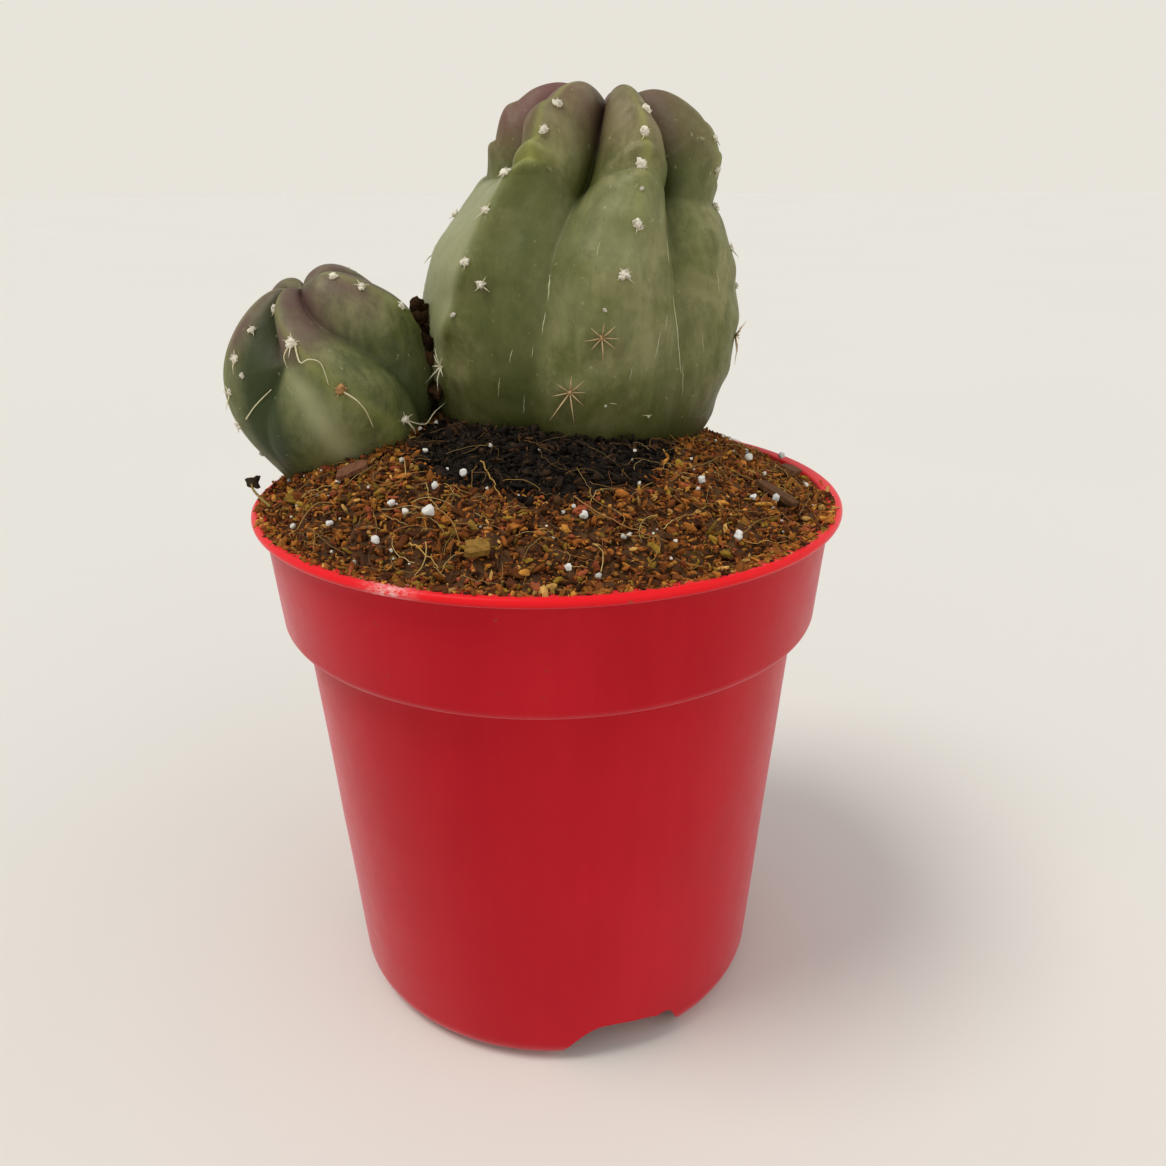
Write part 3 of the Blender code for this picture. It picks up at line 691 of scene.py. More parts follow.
def make_fibres(material):
    """Golden coir fibres, the long ones of the frame and many short curly ones."""
    draw = np.random.default_rng(51)
    batch = Batch()
    for stops in LONG_FIBRES:
        path = []
        for azimuth, share in stops:
            x, y = polar(azimuth, share * MIX_RADIUS)
            path.append((x, y, float(mound(x, y)) + 0.75))
        path = smooth_rows(path, 6)
        path += draw.normal(size=path.shape) * (0.12, 0.12, 0.10)
        batch.add(*needle(path, np.linspace(0.15, 0.07, len(path)), 6), pick(draw, FIBRE_TONES[:2]))
    for _ in range(SHORT_FIBRES):
        x, y = polar(draw.uniform(0, 360), MIX_RADIUS * math.sqrt(draw.uniform(0.02, 0.95)))
        heading, bend = draw.uniform(0, 2 * math.pi), draw.normal() * 0.16
        step = draw.uniform(0.35, 1.30)
        path = []
        for k in range(FIBRE_STOPS):
            away = math.hypot(x, y)
            if away > FIBRE_LIMIT:
                x, y = x * FIBRE_LIMIT / away, y * FIBRE_LIMIT / away
            rise = 0.35 + 0.7 * math.sin(math.pi * k / (FIBRE_STOPS - 1)) * draw.uniform(0.2, 1.0)
            path.append((x, y, float(mound(x, y)) + rise))
            heading += bend + draw.normal() * 0.14
            x, y = x + step * math.cos(heading), y + step * math.sin(heading)
        if not outside_stems(x, y) or draw.uniform() < 0.6 * peat_share(x, y):
            continue
        thick = draw.uniform(0.04, 0.10)
        path = smooth_rows(path, 2)
        tone = pick(draw, FIBRE_TONES) * (1 - 0.6 * float(peat_share(x, y)))
        batch.add(*needle(path, np.linspace(thick, thick * 0.5, len(path)), 5), tone)
    fibres = batch.build("coir_fibres", material, "fibre")
    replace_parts(fibres, *(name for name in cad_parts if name.startswith("fibre")))


PERLITE_TONE = np.array((0.72, 0.71, 0.66))
SPECKS = 105
SPECK_TONE = np.array((0.80, 0.76, 0.66))
CHIP_TONES = {
    "bark_chip_1": (0.20, 0.085, 0.045), "bark_chip_2": (0.13, 0.060, 0.026),
    "bark_chip_3": (0.28, 0.150, 0.030), "bark_chip_4": (0.16, 0.070, 0.030),
}
SPRIG_STALK = ((-54.6, -12.6, 111.4), (-57.6, -8.6, 112.2), (-59.8, -4.6, 112.5), (-61.0, -1.2, 112.6))
# middle and size of each withered leaf
SPRIG_LEAVES = (((-61.3, 0.2, 112.7), 2.6), ((-60.7, 1.4, 112.9), 1.7), ((-60.2, -0.6, 112.3), 1.3))
STALK_TONE = (0.34, 0.24, 0.070)
LEAF_TONE = (0.045, 0.030, 0.016)


def rough_copy(name, levels, lumps, depth, soften=0.6):
    """The shape of a frame node, subdivided and made irregular, in millimetres about the pot's axis."""
    fine = bmesh.new()
    fine.from_mesh(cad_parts[name].data)
    bmesh.ops.remove_doubles(fine, verts=fine.verts, dist=1e-6)
    for _ in range(levels):
        bmesh.ops.subdivide_edges(fine, edges=fine.edges, cuts=1, use_grid_fill=True, smooth=soften)
    points = np.array([v.co for v in fine.verts]) / MM - (AXIS_X, AXIS_Y, 0.0)
    faces = [tuple(v.index for v in face.verts) for face in fine.faces]
    fine.free()
    middle = (points.min(0) + points.max(0)) / 2
    out = points - middle
    out /= np.linalg.norm(out, axis=1)[:, None] + 1e-9
    return points + out * (depth * lumps(points))[:, None], faces


def make_perlite(material):
    """The frame's perlite grains, knobbly, and a sprinkle of much smaller ones."""
    draw = np.random.default_rng(61)
    lumps = Lumps(62, 1.3, 40)
    batch = Batch()
    names = [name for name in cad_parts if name.startswith("perlite")]
    for name in names:
        points, faces = rough_copy(name, 2, lumps, 0.30)
        points = points.mean(0) + (points - points.mean(0)) * draw.uniform(0.50, 0.76)
        batch.add(points, faces, PERLITE_TONE * draw.uniform(0.85, 1.05))
    shapes = crumb_shapes(2, 8, 640)
    for _ in range(SPECKS):
        x, y = polar(draw.uniform(0, 360), MIX_RADIUS * math.sqrt(draw.uniform(0.05, 0.96)))
        if not outside_stems(x, y):
            continue
        size = 0.40 + 0.75 * draw.uniform() ** 3
        shape, faces = shapes[draw.integers(len(shapes))]
        points = shape @ random_turn(draw).T * size + (x, y, float(mound(x, y)) + 0.1 + size * 0.2)
        batch.add(points, faces, SPECK_TONE * draw.uniform(0.6, 1.1))
    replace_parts(batch.build("perlite", material, "perlite"), *names)


def make_chips(material):
    """The frame's bark and wood chips and the dry sprig, with rough faces."""
    lumps = Lumps(71, 1.8, 40)
    batch = Batch()
    for name, tone in CHIP_TONES.items():
        points, faces = rough_copy(name, 3, lumps, 0.20, 0.0)
        batch.add(points, faces, tone)
    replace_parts(batch.build("chips", material, "bark"), *CHIP_TONES)
    sprig = Batch()
    stalk = smooth_rows(SPRIG_STALK, 5)
    sprig.add(*needle(stalk, np.linspace(0.30, 0.22, len(stalk)), 6), STALK_TONE)
    for centre, size in SPRIG_LEAVES:
        shape, faces = crumb_shapes(2, 1, 720 + int(size * 10))[0]
        sprig.add(shape * size + centre, faces, LEAF_TONE)
    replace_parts(sprig.build("sprig", material, "sprig"), "dry_sprig")


# ---------------------------------------------------------------- stems


def knot_phase(azimuths, height, knots):
    """Where azimuths fall among crests (whole numbers) and furrows (halves), at a height."""
    places = [np.interp(height, *zip(*rows)) if hasattr(rows, "__len__") else rows for rows in knots]
    places = np.array(places)
    count = len(knots) // 2
    places = np.concatenate([places[-2:] - 360.0, places, places[:2] + 360.0])
    marks = np.arange(-1.0, count + 1.0, 0.5)
    start = places[2]
    wrapped = (azimuths - start) % 360.0 + start
    return np.interp(wrapped, places, marks) % count


# The older, lower growth. Crests and furrows in turn, from the crest that faces the front; a pair of
# rows gives an azimuth that changes with the height over the lip.
MAIN_LOWER = (
    ((10, -9), (23, -6), (33, 4), (44, 10.5), (56, 12)), ((20, 34), (45, 36), (60, 33)),
    66, 92, 118, 144, 168, 192, 214, 233, 250, 270,
    ((20, 298), (36, 312), (46, 317), (61, 315), (64, 319)), ((20, 338), (44, 345)),
)
MAIN_UPPER = (13, 35, 64, 90, 116, 141, 167, 193, 218, 244, 268, 292, 322, 347)
# Height at which the lower growth ends, around the stem
MAIN_BREAK = (
    (-15, 57.0), (-5, 60.5), (10, 62.4), (20, 61.2), (30, 57.6), (50, 56), (66, 55.3), (93, 53.5),
    (118, 57.5), (144, 54.5), (168, 61), (192, 56), (214, 60), (233, 57.5), (250, 62.0), (270, 60.0),
    (300, 61.0), (320, 63.8), (333, 62.4), (345, 57.0),
)
# height over the lip, crest radius, furrow radius
MAIN_LOWER_ROWS = (
    (-4, 15, 14.6), (0, 21.5, 21.0), (4, 25.2, 24.4), (10, 29.2, 27.8), (17, 32.0, 30.1),
    (25, 33.6, 30.9), (34, 34.2, 30.6), (42, 33.6, 28.8), (48, 32.0, 26.0), (53, 30.0, 22.6),
    (58, 28.2, 19.4), (66, 26.4, 16.4),
)
MAIN_UPPER_ROWS = (
    (-4, 14, 12), (40, 26.6, 21.0), (50, 25.2, 19.4), (56, 24.6, 17.4), (62, 24.0, 15.0), (66, 23.2, 12.6),
    (70, 21.4, 10.4), (73, 18.8, 8.4), (75.2, 15.8, 6.6),
)
MAIN_TOP_ROWS = (
    (73, 18.8, 8.4), (75.2, 15.8, 6.6), (76.6, 12.4, 5.0), (77.0, 9.2, 3.6), (76.3, 6.2, 2.4),
    (74.9, 3.6, 1.4), (73.6, 1.4, 0.7), (73.2, 0.3, 0.2),
)
MAIN_COLUMNS = 350
MAIN_AXIS_X = 8.24
OLD_HEIGHTS = (-4, 50, 130)  # first, last and number of rows
YOUNG_HEIGHTS = (50.3, 72.8, 100)
CROWN_DROP = 6.0  # how far the furrows sink below the crests at the top
# Heights of the areoles along each young rib, which is notched under them
YOUNG_AREOLES = {
    0: (74.6, 68.4), 1: (73.0, 67.0, 61.0), 2: (74.0, 67.0, 60.0), 3: (74.2, 68.6), 4: (74.2, 67.4),
    5: (74.2, 67.8), 6: (74.6, 68.2),
}
LEFT_RIB = 6  # the old and the young rib that face the front left
NOTCH_DEPTHS = {1: 0.7, LEFT_RIB: 3.0}
USUAL_NOTCH = 1.9
# Azimuth of the front left rib's ridge over heights; a painted highlight lightens the skin to the left of
# it
HIGHLIGHT_EDGE = ((20.0, 36.0, 46.0, 61.0), (-62.0, -48.0, -43.0, -45.0))


def main_shift(height):
    """How far the young growth stands to the right of the old."""
    return 5.3 * smooth_step(44.0, 66.0, height)


def crease(below, depth, round_off, reach):
    """Overhang of old growth over new: full just under the line, gone at the line and above it."""
    below = np.maximum(below, 0.0)
    return depth * (1.0 - np.exp(-below / round_off)) * np.exp(-below / reach)


def make_skin(name, rows, columns, place, material, cad_node):
    """A closed skin from place(azimuths, row), which gives points and the material's numbers."""
    azimuths = np.arange(columns) * 360.0 / columns
    points, layers = [], {}
    for row in range(rows):
        ring, numbers = place(azimuths, row)
        points.append(ring)
        for key, value in numbers.items():
            layers.setdefault(key, []).append(np.broadcast_to(value, azimuths.shape))
    faces = grid_faces(rows, columns, capped=True)
    skin = add_piece(name, np.concatenate(points), faces, material)
    for key, value in layers.items():
        store(skin, key, np.concatenate(value))
    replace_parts(skin, cad_node)
    return skin


def surface_frame(here, beside, above):
    """A point on a skin with its outward, upward and sideways directions, from three points of it."""
    side = beside - here
    out = np.cross(side, above - here)
    out /= np.linalg.norm(out)
    side /= np.linalg.norm(side)
    return here, out, np.cross(out, side), side


class MainStem:
    """The big stem: two stages of growth on one axis."""

    def __init__(self):
        self.axis_y = (MAIN_LOW.y + MAIN_HIGH.y) / 2 - AXIS_Y
        self.heights = np.concatenate([np.linspace(*OLD_HEIGHTS), np.linspace(*YOUNG_HEIGHTS)])
        self.top = smooth_rows(MAIN_TOP_ROWS, 7)
        self.lower = smooth_rows(MAIN_LOWER_ROWS, 12)
        self.upper = smooth_rows(MAIN_UPPER_ROWS, 12)
        self.lumps = Lumps(31, 26.0, 30)
        self.fine = Lumps(32, 6.0, 40)

    def ridge(self, azimuths, height, knots):
        """Share of the way from furrow to crest, distance across from the crest, and the rib's number."""
        phase = knot_phase(azimuths, height, knots)
        across = np.abs(phase - np.round(phase)) * 2
        return np.cos(math.pi / 2 * across), across, np.round(phase).astype(int) % 7

    def upper_steps(self, height, across, ribs):
        """Overhangs under each areole of the young growth."""
        total = np.zeros_like(across)
        for rib, stops in YOUNG_AREOLES.items():
            depth = NOTCH_DEPTHS.get(rib, USUAL_NOTCH)
            for stop in stops:
                line = stop - 1.2 - 8.0 * across**1.5
                total += (ribs == rib) * crease(line - height, depth, 0.5, 4.0) * (1 - across) ** 0.5
        return total

    def lower_steps(self, height, across):
        """Faint waves along the old crests, one under each areole."""
        wave = np.cos((height - 44.0) * 2 * math.pi / 10.5)
        return 0.35 * wave * bell(across, 0.35)

    def radius(self, azimuths, height):
        """Radius and the numbers for the material, at a height over the lip."""
        share, across, ribs = self.ridge(azimuths, height, MAIN_LOWER)
        sharp = np.where(ribs == LEFT_RIB, 0.62, 0.15)
        profile = (1 - sharp) * share**0.85 + sharp * (1 - across) ** 0.9
        side = turned_from(0.0, azimuths)
        shallow = 0.75 * bell(side + 88.0, 26.0)
        profile = 1 - (1 - profile) * (1 - shallow)
        crest, furrow = (np.interp(height, self.lower[:, 0], self.lower[:, k]) for k in (1, 2))
        lower = furrow + (crest - furrow) * profile + self.lower_steps(height, across)
        lower = lower + 1.5 * (ribs == LEFT_RIB) * bell(across, 0.20) * smooth_step(22.0, 36.0, height)
        low_left = bell(side + 85.0, 35.0) * (1 - smooth_step(28.0, 44.0, height))
        lower = lower * (1 + 0.05 * low_left)
        right = bell(turned_from(85.0, azimuths), 45.0)
        lower = lower * (1 - right * (0.035 + 0.065 * (1 - smooth_step(6.0, 34.0, height))))
        up_share, up_across, up_ribs = self.ridge(azimuths, height, MAIN_UPPER)
        crest, furrow = (np.interp(height, self.upper[:, 0], self.upper[:, k]) for k in (1, 2))
        upper = furrow + (crest - furrow) * up_share**0.6 + self.upper_steps(height, up_across, up_ribs)
        line = np.array(sorted((a % 360.0, h) for a, h in MAIN_BREAK))
        ends = np.interp(azimuths % 360.0, line[:, 0], line[:, 1], period=360.0)
        merge = 1.0 - np.exp(-np.maximum(ends - height, 0.0) / np.where(ribs == 1, 2.6, 0.9))
        radius = upper + (np.maximum(lower, upper) - upper) * merge
        share, across, ribs = (np.where(merge > 0, old, young) for old, young in
                               ((share, up_share), (across, up_across), (ribs, up_ribs)))
        return radius, {"share": share, "across": across, "old": merge, "ribs": ribs}

    def place(self, azimuths, height):
        """A point of the surface for each azimuth, with its numbers."""
        radius, numbers = self.radius(azimuths, height)
        x, y = polar(azimuths, radius)
        drop = CROWN_DROP * (1 - numbers["share"] ** 0.6) * smooth_step(62.0, 76.0, height)
        drop = drop * (1 - numbers["old"])
        return self.finish(x, y, POT_TOP + height - drop, height, azimuths), numbers

    def finish(self, x, y, z, height, azimuths):
        """Moves points about the stem's axis to their place, leaning and lumpy."""
        tilt = -0.085 * x * smooth_step(60.0, 76.0, height)
        points = np.stack([x + MAIN_AXIS_X + main_shift(height), y + self.axis_y, z + tilt], 1)
        swell = (0.5 * self.lumps(points) + 0.10 * self.fine(points))[:, None]
        out = np.stack([np.sin(np.radians(azimuths)), -np.cos(np.radians(azimuths)), np.zeros_like(x)], 1)
        return points + out * swell

    def ring(self, azimuths, row):
        """One ring of points with the material's numbers, up the side and then over the top."""
        if row < len(self.heights):
            height = self.heights[row]
            points, numbers = self.place(azimuths, height)
        else:
            row -= len(self.heights)
            height, crest, furrow = self.top[row]
            share, across, ribs = self.ridge(azimuths, height, MAIN_UPPER)
            radius = furrow + (crest - furrow) * share**0.6
            radius = radius + self.upper_steps(height, across, ribs) * min(1.0, crest / 18.8)
            reached = self.top[: row + 1, 0].max()
            drop = CROWN_DROP * smooth_step(62.0, 76.0, reached) * (1 - share**0.6)
            x, y = polar(azimuths, radius)
            z = POT_TOP + height - drop * smooth_step(0.0, 9.0, crest)
            points = self.finish(x, y, z, max(height, reached), azimuths)
            numbers = {"share": share, "across": across, "old": np.zeros_like(share), "ribs": ribs}
        return points, self.numbers(height, azimuths, numbers, points)

    def numbers(self, height, azimuths, found, points):
        """What the skin material reads at each point."""
        share, across, old, ribs = (found[key] for key in ("share", "across", "old", "ribs"))
        patch = 0.5 + 0.5 * self.lumps(points * 1.7)
        side = turned_from(0.0, azimuths)
        left = 1 - smooth_step(-75.0, -25.0, side)
        young = smooth_step(60.0, 76.0, height) * (1.0 - 0.5 * old) * (0.35 + 0.35 * patch + 0.85 * left)
        young = young + 0.45 * left * smooth_step(48.0, 62.0, height) * old * patch
        crest = bell(across, 0.09) * smooth_step(56.0, 62.0, height) * (1 - old) * 0.34
        crest = crest + bell(across, 0.12) * smooth_step(44.0, 62.0, height) * old * 0.20
        arch = (ribs == LEFT_RIB) * (1 - old) * bell(height - 63.5, 2.6) * bell(across, 0.4)
        crest = crest + 0.42 * arch
        # painted shade in the young crown's clefts, added to the darkening towards the soil
        cleft = (1 - share) ** 3 * (1 - old) * 0.9 * smooth_step(50.0, 60.0, height)
        # painted highlight on the left flank, which faces the light, and on the front
        flank = 1 - smooth_step(-6.0, 2.0, side - np.interp(height, *HIGHLIGHT_EDGE))
        flank = flank * smooth_step(-122.0, -86.0, side)
        flank = 1.15 * flank * old * smooth_step(8.0, 30.0, height) * (0.7 + 0.4 * patch)
        front = bell(side - 8.0, 22.0) * old * smooth_step(12.0, 34.0, height) * 0.35
        # painted shade on a face turned from the light and on young rib 1; these join the furrow darkening
        face = bell(side + 33.0, 15.0) * old * 0.60
        back = (ribs == 1) * (1 - old) * smooth_step(54.0, 58.0, height) * 0.40
        return {
            "young": np.clip(young, 0, 1),
            "crest": np.clip(crest * (0.4 + 0.9 * patch), 0, 1),
            "furrow": np.clip((1 - share) ** 1.6 * (0.45 + 0.55 * (1 - old)) + face + back, 0, 0.95),
            "low": np.clip(1.05 * (1.0 - smooth_step(3.0, 30.0, height)) + cleft, 0, 1.0),
            "light": np.clip(flank + front * patch, 0, 0.82),
        }

    def frame_at(self, azimuth, height):
        """surface_frame() at a place on the skin."""
        return surface_frame(*(self.place(np.array([float(azimuth + turn)]), height + rise)[0][0]
                               for turn, rise in ((0, 0), (2.0, 0), (0, 0.6))))

    def build(self, material):
        side_rows = len(self.heights)

        def ring(azimuths, row):
            return self.ring(azimuths, row if row < side_rows else row + 1)  # the top's first row repeats

        return make_skin("main_skin", side_rows + len(self.top) - 1, MAIN_COLUMNS, ring, material,
                         "main_stem")


# The offset, in its own leaning frame. Its ribs wind round it from the crown down.
OFFSET_KNOTS = (
    ((10, 46), (23, 42), (33, 17), (43, -2), (50, -24)),
    ((20, 66), (31, 56), (36, 43), (41, 29), (46, 16), (50, 5)),
    ((20, 96), (33, 90), (50, 66)), ((20, 130), (50, 108)), ((20, 165), (50, 145)), ((20, 200), (50, 182)),
    ((20, 238), (50, 222)), ((20, 268), (50, 256)), ((20, 298), (50, 288)),
    ((20, 322), (33, 329), (39, 343), (44, 334), (49, 326)),
)
# distance along its axis, crest radius, furrow radius
OFFSET_ROWS = (
    (1.5, 10.8, 10.4), (5.5, 13.2, 12.6), (9.0, 15.0, 14.2), (13.0, 16.8, 15.6), (18.0, 19.0, 17.2),
    (23.0, 20.6, 18.2), (28.0, 21.3, 18.4), (33.0, 21.0, 17.2), (38.0, 19.6, 15.0), (42.0, 17.4, 12.4),
    (45.5, 14.4, 9.2), (48.2, 11.2, 6.6), (49.8, 8.2, 4.6), (50.2, 5.6, 3.0), (49.4, 3.4, 1.8),
    (48.4, 1.6, 0.8), (48.2, 0.4, 0.3),
)


OFFSET_COLUMNS = 260
OFFSET_BASE = (-39.7, 12.5, POT_TOP - 6.5)
OFFSET_LEAN = 9.9  # degrees to the left and as many forwards
# Azimuth of the middle of the painted highlight stripe over distances along the axis
HIGHLIGHT_STRIPE = ((12.0, 24.0, 34.0, 42.0), (16.0, 6.0, -2.0, -12.0))


class OffsetStem:
    """The smaller stem, which leans to the left and forwards."""

    def __init__(self):
        lean = math.radians(OFFSET_LEAN)
        self.turn = np.array(Matrix.Rotation(-lean, 3, "Y") @ Matrix.Rotation(lean, 3, "X"))
        self.rows = smooth_rows(OFFSET_ROWS, 9)
        self.lumps = Lumps(41, 18.0, 30)

    def place(self, azimuths, row):
        """A point of the surface for each azimuth, how near a crest it is and how far across from one."""
        along, crest, furrow = row
        phase = knot_phase(azimuths, along, OFFSET_KNOTS)
        across = np.abs(phase - np.round(phase)) * 2
        share = np.cos(math.pi / 2 * across)
        shallow = 0.85 * (1 - smooth_step(22.0, 35.0, along)) * bell(turned_from(10.0, azimuths), 62.0)
        radius = furrow + (crest - furrow) * (1 - (1 - share**0.85) * (1 - shallow))
        left = bell(turned_from(-75.0, azimuths), 40.0)
        radius = radius * (1 - 0.13 * left * bell(along - 12.0, 9.0))
        x, y = polar(azimuths, radius)
        drop = 3.0 * (1 - share**0.6) * smooth_step(36.0, 48.0, along) * smooth_step(0.0, 8.0, crest)
        tilt = 0.14 * x * smooth_step(24.0, 46.0, along)
        local = np.stack([x, y, along + tilt - drop], 1)
        points = local @ self.turn.T + OFFSET_BASE
        out = local * (1.0, 1.0, 0.0)
        out = out / (np.linalg.norm(out, axis=1)[:, None] + 1e-6) @ self.turn.T
        return points + out * (0.45 * self.lumps(points))[:, None], share, across

    def ring(self, azimuths, row):
        """One ring of points with the material's numbers."""
        along = self.rows[row][0]
        points, share, across = self.place(azimuths, self.rows[row])
        patch = 0.5 + 0.5 * self.lumps(points * 1.6)
        facing = np.cos(np.radians(azimuths))
        # painted highlight: a bright stripe along a fold of the skin
        highlight_stripe = bell(turned_from(np.interp(along, *HIGHLIGHT_STRIPE), azimuths), 8.5) * smooth_step(10, 18, along)
        highlight_stripe = highlight_stripe * (1 - smooth_step(34.0, 42.0, along))
        side = turned_from(0.0, azimuths)
        # painted shade on the left face and, near the main stem, painted shadow on the right side
        left = bell(side + 36 + 0.25 * (along - 33), 17.0) * smooth_step(14.0, 26.0, along)
        right = bell(side - 78, 26.0) * (1 - smooth_step(30.0, 42.0, along))
        young = smooth_step(37.0, 48.0, along) * (0.30 + 0.9 * patch)
        front = bell(side + 6, 22.0) * smooth_step(36.0, 43.0, along)
        young = (young + 0.5 * front) * (1 - 0.85 * left)
        return points, {
            "young": np.clip(young, 0, 1),
            "crest": bell(across, 0.12) * 0.25 * np.clip(facing + 0.6, 0, 1),
            "furrow": np.clip((1 - share) ** 1.8 * 0.6 + 0.95 * left + 0.45 * right, 0, 0.97),
            # painted shade towards the base
            "low": 1.0 - smooth_step(6.0, 22.0, along),
            "light": np.clip(highlight_stripe, 0, 1),
        }

    def frame_at(self, azimuth, along):
        """surface_frame() at a place on the skin."""
        outer = self.rows[: int(self.rows[:, 0].argmax()) + 1]
        row, above = (np.array([np.interp(a, outer[:, 0], outer[:, k]) for k in range(3)])
                      for a in (along, along + 0.6))
        return surface_frame(*(self.place(np.array([float(a)]), r)[0][0] for a, r in
                               ((azimuth, row), (azimuth + 3.0, row), (azimuth, above))))

    def build(self, material):
        return make_skin("offset_skin", len(self.rows), OFFSET_COLUMNS, self.ring, material,
                         "offset_stem")


# ---------------------------------------------------------------- areoles and spines

WOOL = np.array((0.80, 0.74, 0.60))
BROWN_WOOL = np.array((0.46, 0.25, 0.10))
TAN_WOOL = np.array((0.66, 0.47, 0.26))
BROWN_SPINE = np.array((0.50, 0.33, 0.15))
PALE_SPINE = np.array((0.66, 0.60, 0.38))
SCAR_TONE = np.array((0.50, 0.50, 0.30))
SPINE_RADII = (0.17, 0.12, 0.03)
HAIR_RADII = (0.08, 0.06, 0.02)
LUMP_SIZES = (0.75, 0.6, 0.5, 0.4, 0.4)
HIGHEST_AREOLE = 72.5
BACK_CRESTS = (118, 168, 214, 258)
BACK_HEIGHTS = (74.2, 67.6, 61.4, 53.4, 44.6, 35.5, 26.0)
BACK_KINDS = ("felt",) * 4 + ("tuft",) + ("star",) * 2

# azimuth, height over the lip, size, kind
MAIN_AREOLES = (
    (16, 74.4, 2.2, "felt"), (13, 68.3, 2.0, "felt"), (11, 62.6, 2.4, "felt"), (11.5, 58.6, 0.9, "scar"),
    (13, 52.6, 2.2, "felt"), (10.5, 44.2, 2.3, "tuft"), (4.4, 38.0, 0.8, "scar"), (3.3, 33.1, 1.5, "star"),
    (-6.8, 23.0, 1.5, "star"), (-33, 74.6, 2.3, "felt"), (-34.5, 68.2, 2.0, "felt"),
    (-46, 61.2, 2.3, "felt"),
    (-45, 54.8, 2.0, "tuft"), (-43, 46.0, 1.8, "felt"), (-38, 41.9, 1.9, "tuft"), (-47, 36.2, 1.3, "scar"),
    (-58, 25.5, 1.5, "pale star"), (64, 68.0, 1.7, "felt"), (62, 61.6, 1.8, "felt"),
    (66, 54.7, 1.9, "felt"),
    (67, 47.0, 1.5, "tuft"), (70, 39.7, 1.4, "scar"), (68, 30.0, 1.3, "star"), (5, 20.0, 0.7, "scar"),
    (22, 17.0, 0.7, "scar"),
)
# start and end (azimuth, height over the lip), half width
SCRATCHES = (
    ((-15.3, 44.6), (-15.0, 39.0), 0.22), ((-15.8, 37.6), (-17.0, 33.0), 0.16),
    ((31.5, 41.5), (35.9, 23.6), 0.20), ((30.0, 50.5), (31.0, 44.5), 0.12),
    ((24.8, 34.0), (22.6, 28.5), 0.14), ((27.6, 36.5), (26.6, 33.0), 0.10),
    ((36.0, 27.0), (37.0, 20.0), 0.12), ((-27.0, 30.5), (-28.5, 27.6), 0.12),
    ((-32.0, 25.0), (-34.0, 20.5), 0.10), ((6.0, 20.6), (9.5, 20.2), 0.14),
    ((19.0, 17.4), (24.0, 17.2), 0.13), ((-24.0, 22.0), (-25.0, 17.5), 0.09),
    ((14.0, 27.5), (13.2, 24.5), 0.09), ((-20.0, 31.0), (-20.6, 28.8), 0.09),
    ((44.0, 33.0), (44.6, 28.0), 0.08), ((52.0, 44.0), (52.5, 39.0), 0.08),
    ((-60.0, 33.0), (-61.5, 28.0), 0.10), ((2.0, 50.0), (1.4, 47.0), 0.07),
)
# azimuth, distance along the offset's axis, size, kind
OFFSET_AREOLES = (
    (-27, 48.6, 2.2, "felt"), (-3, 43.1, 2.4, "tuft"), (17, 33.2, 2.2, "brown"), (47, 23.3, 2.0, "tuft"),
    (58, 49.4, 2.0, "felt"), (66, 46.2, 1.8, "tuft"), (80, 40.0, 1.9, "felt"), (-50, 46.2, 1.7, "felt"),
    (-55, 42.0, 2.0, "tuft"), (-46, 38.8, 1.4, "scar"), (-59, 35.0, 1.5, "tuft"), (-60, 27.0, 1.8, "felt"),
    (-57, 20.0, 1.2, "scar"), (150, 46.0, 1.8, "felt"), (154, 38.0, 1.8, "felt"), (160, 28.0, 1.5, "star"),
    (222, 46.0, 1.8, "felt"), (226, 37.0, 1.8, "felt"), (232, 27.0, 1.5, "star"), (88, 28.0, 1.4, "star"),
)
# stops (azimuth, distance along), and how far each stands off the skin
CURLED_SPINES = (
    (((-1, 42.6), (1, 39.6), (6, 39.4), (11, 38.2), (12, 34.6)), (0.3, 0.9, 1.6, 1.2, 0.4)),
    (((18, 32.8), (22, 31.0), (25, 28.6), (27, 24.9)), (0.4, 1.5, 1.2, 0.5)),
    (((48, 22.8), (58, 20.4), (68, 22.0), (80, 22.4)), (0.4, 1.8, 3.0, 3.4)),
    (((48, 22.8), (50, 20.6), (53, 18.2)), (0.3, 1.2, 0.6)),
    (((-46, 29.6), (-38, 32.4), (-28, 35.0)), (0.3, 0.8, 0.5)),
    (((-4, 42.8), (-8, 41.2), (-10, 38.8)), (0.3, 0.9, 0.4)),
)


def add_felt(batch, draw, spot, size, tone):
    """A cushion of short wool: a few low lumps and short hairs out of them."""
    centre, out, up, side = spot
    axes = np.stack([side, up, out])
    for k, share in enumerate(LUMP_SIZES):
        lump, faces = crumb_shapes(2, 1, int(draw.integers(1 << 30)))[0]
        shift = (side * draw.uniform(-0.3, 0.3) + up * draw.uniform(-0.3, 0.3)) * size * min(k, 1)
        scale = size * share
        points = lump * (scale, scale * 0.95, scale * 0.9) @ axes + centre + shift + out * size * 0.08
        batch.add(points, faces, tone * draw.uniform(0.75, 1.12))
    for _ in range(int(18 * size)):
        turn = draw.uniform(0, 2 * math.pi)
        across = math.cos(turn) * side + math.sin(turn) * up
        start = centre + across * size * draw.uniform(0.05, 0.3) + out * size * 0.15
        end = start + (across * draw.uniform(0.15, 0.4) + out * draw.uniform(0.1, 0.4)) * size * 0.6
        hair = needle([start, (start + end) / 2, end], HAIR_RADII, 3)
        batch.add(*hair, tone * draw.uniform(0.85, 1.1))


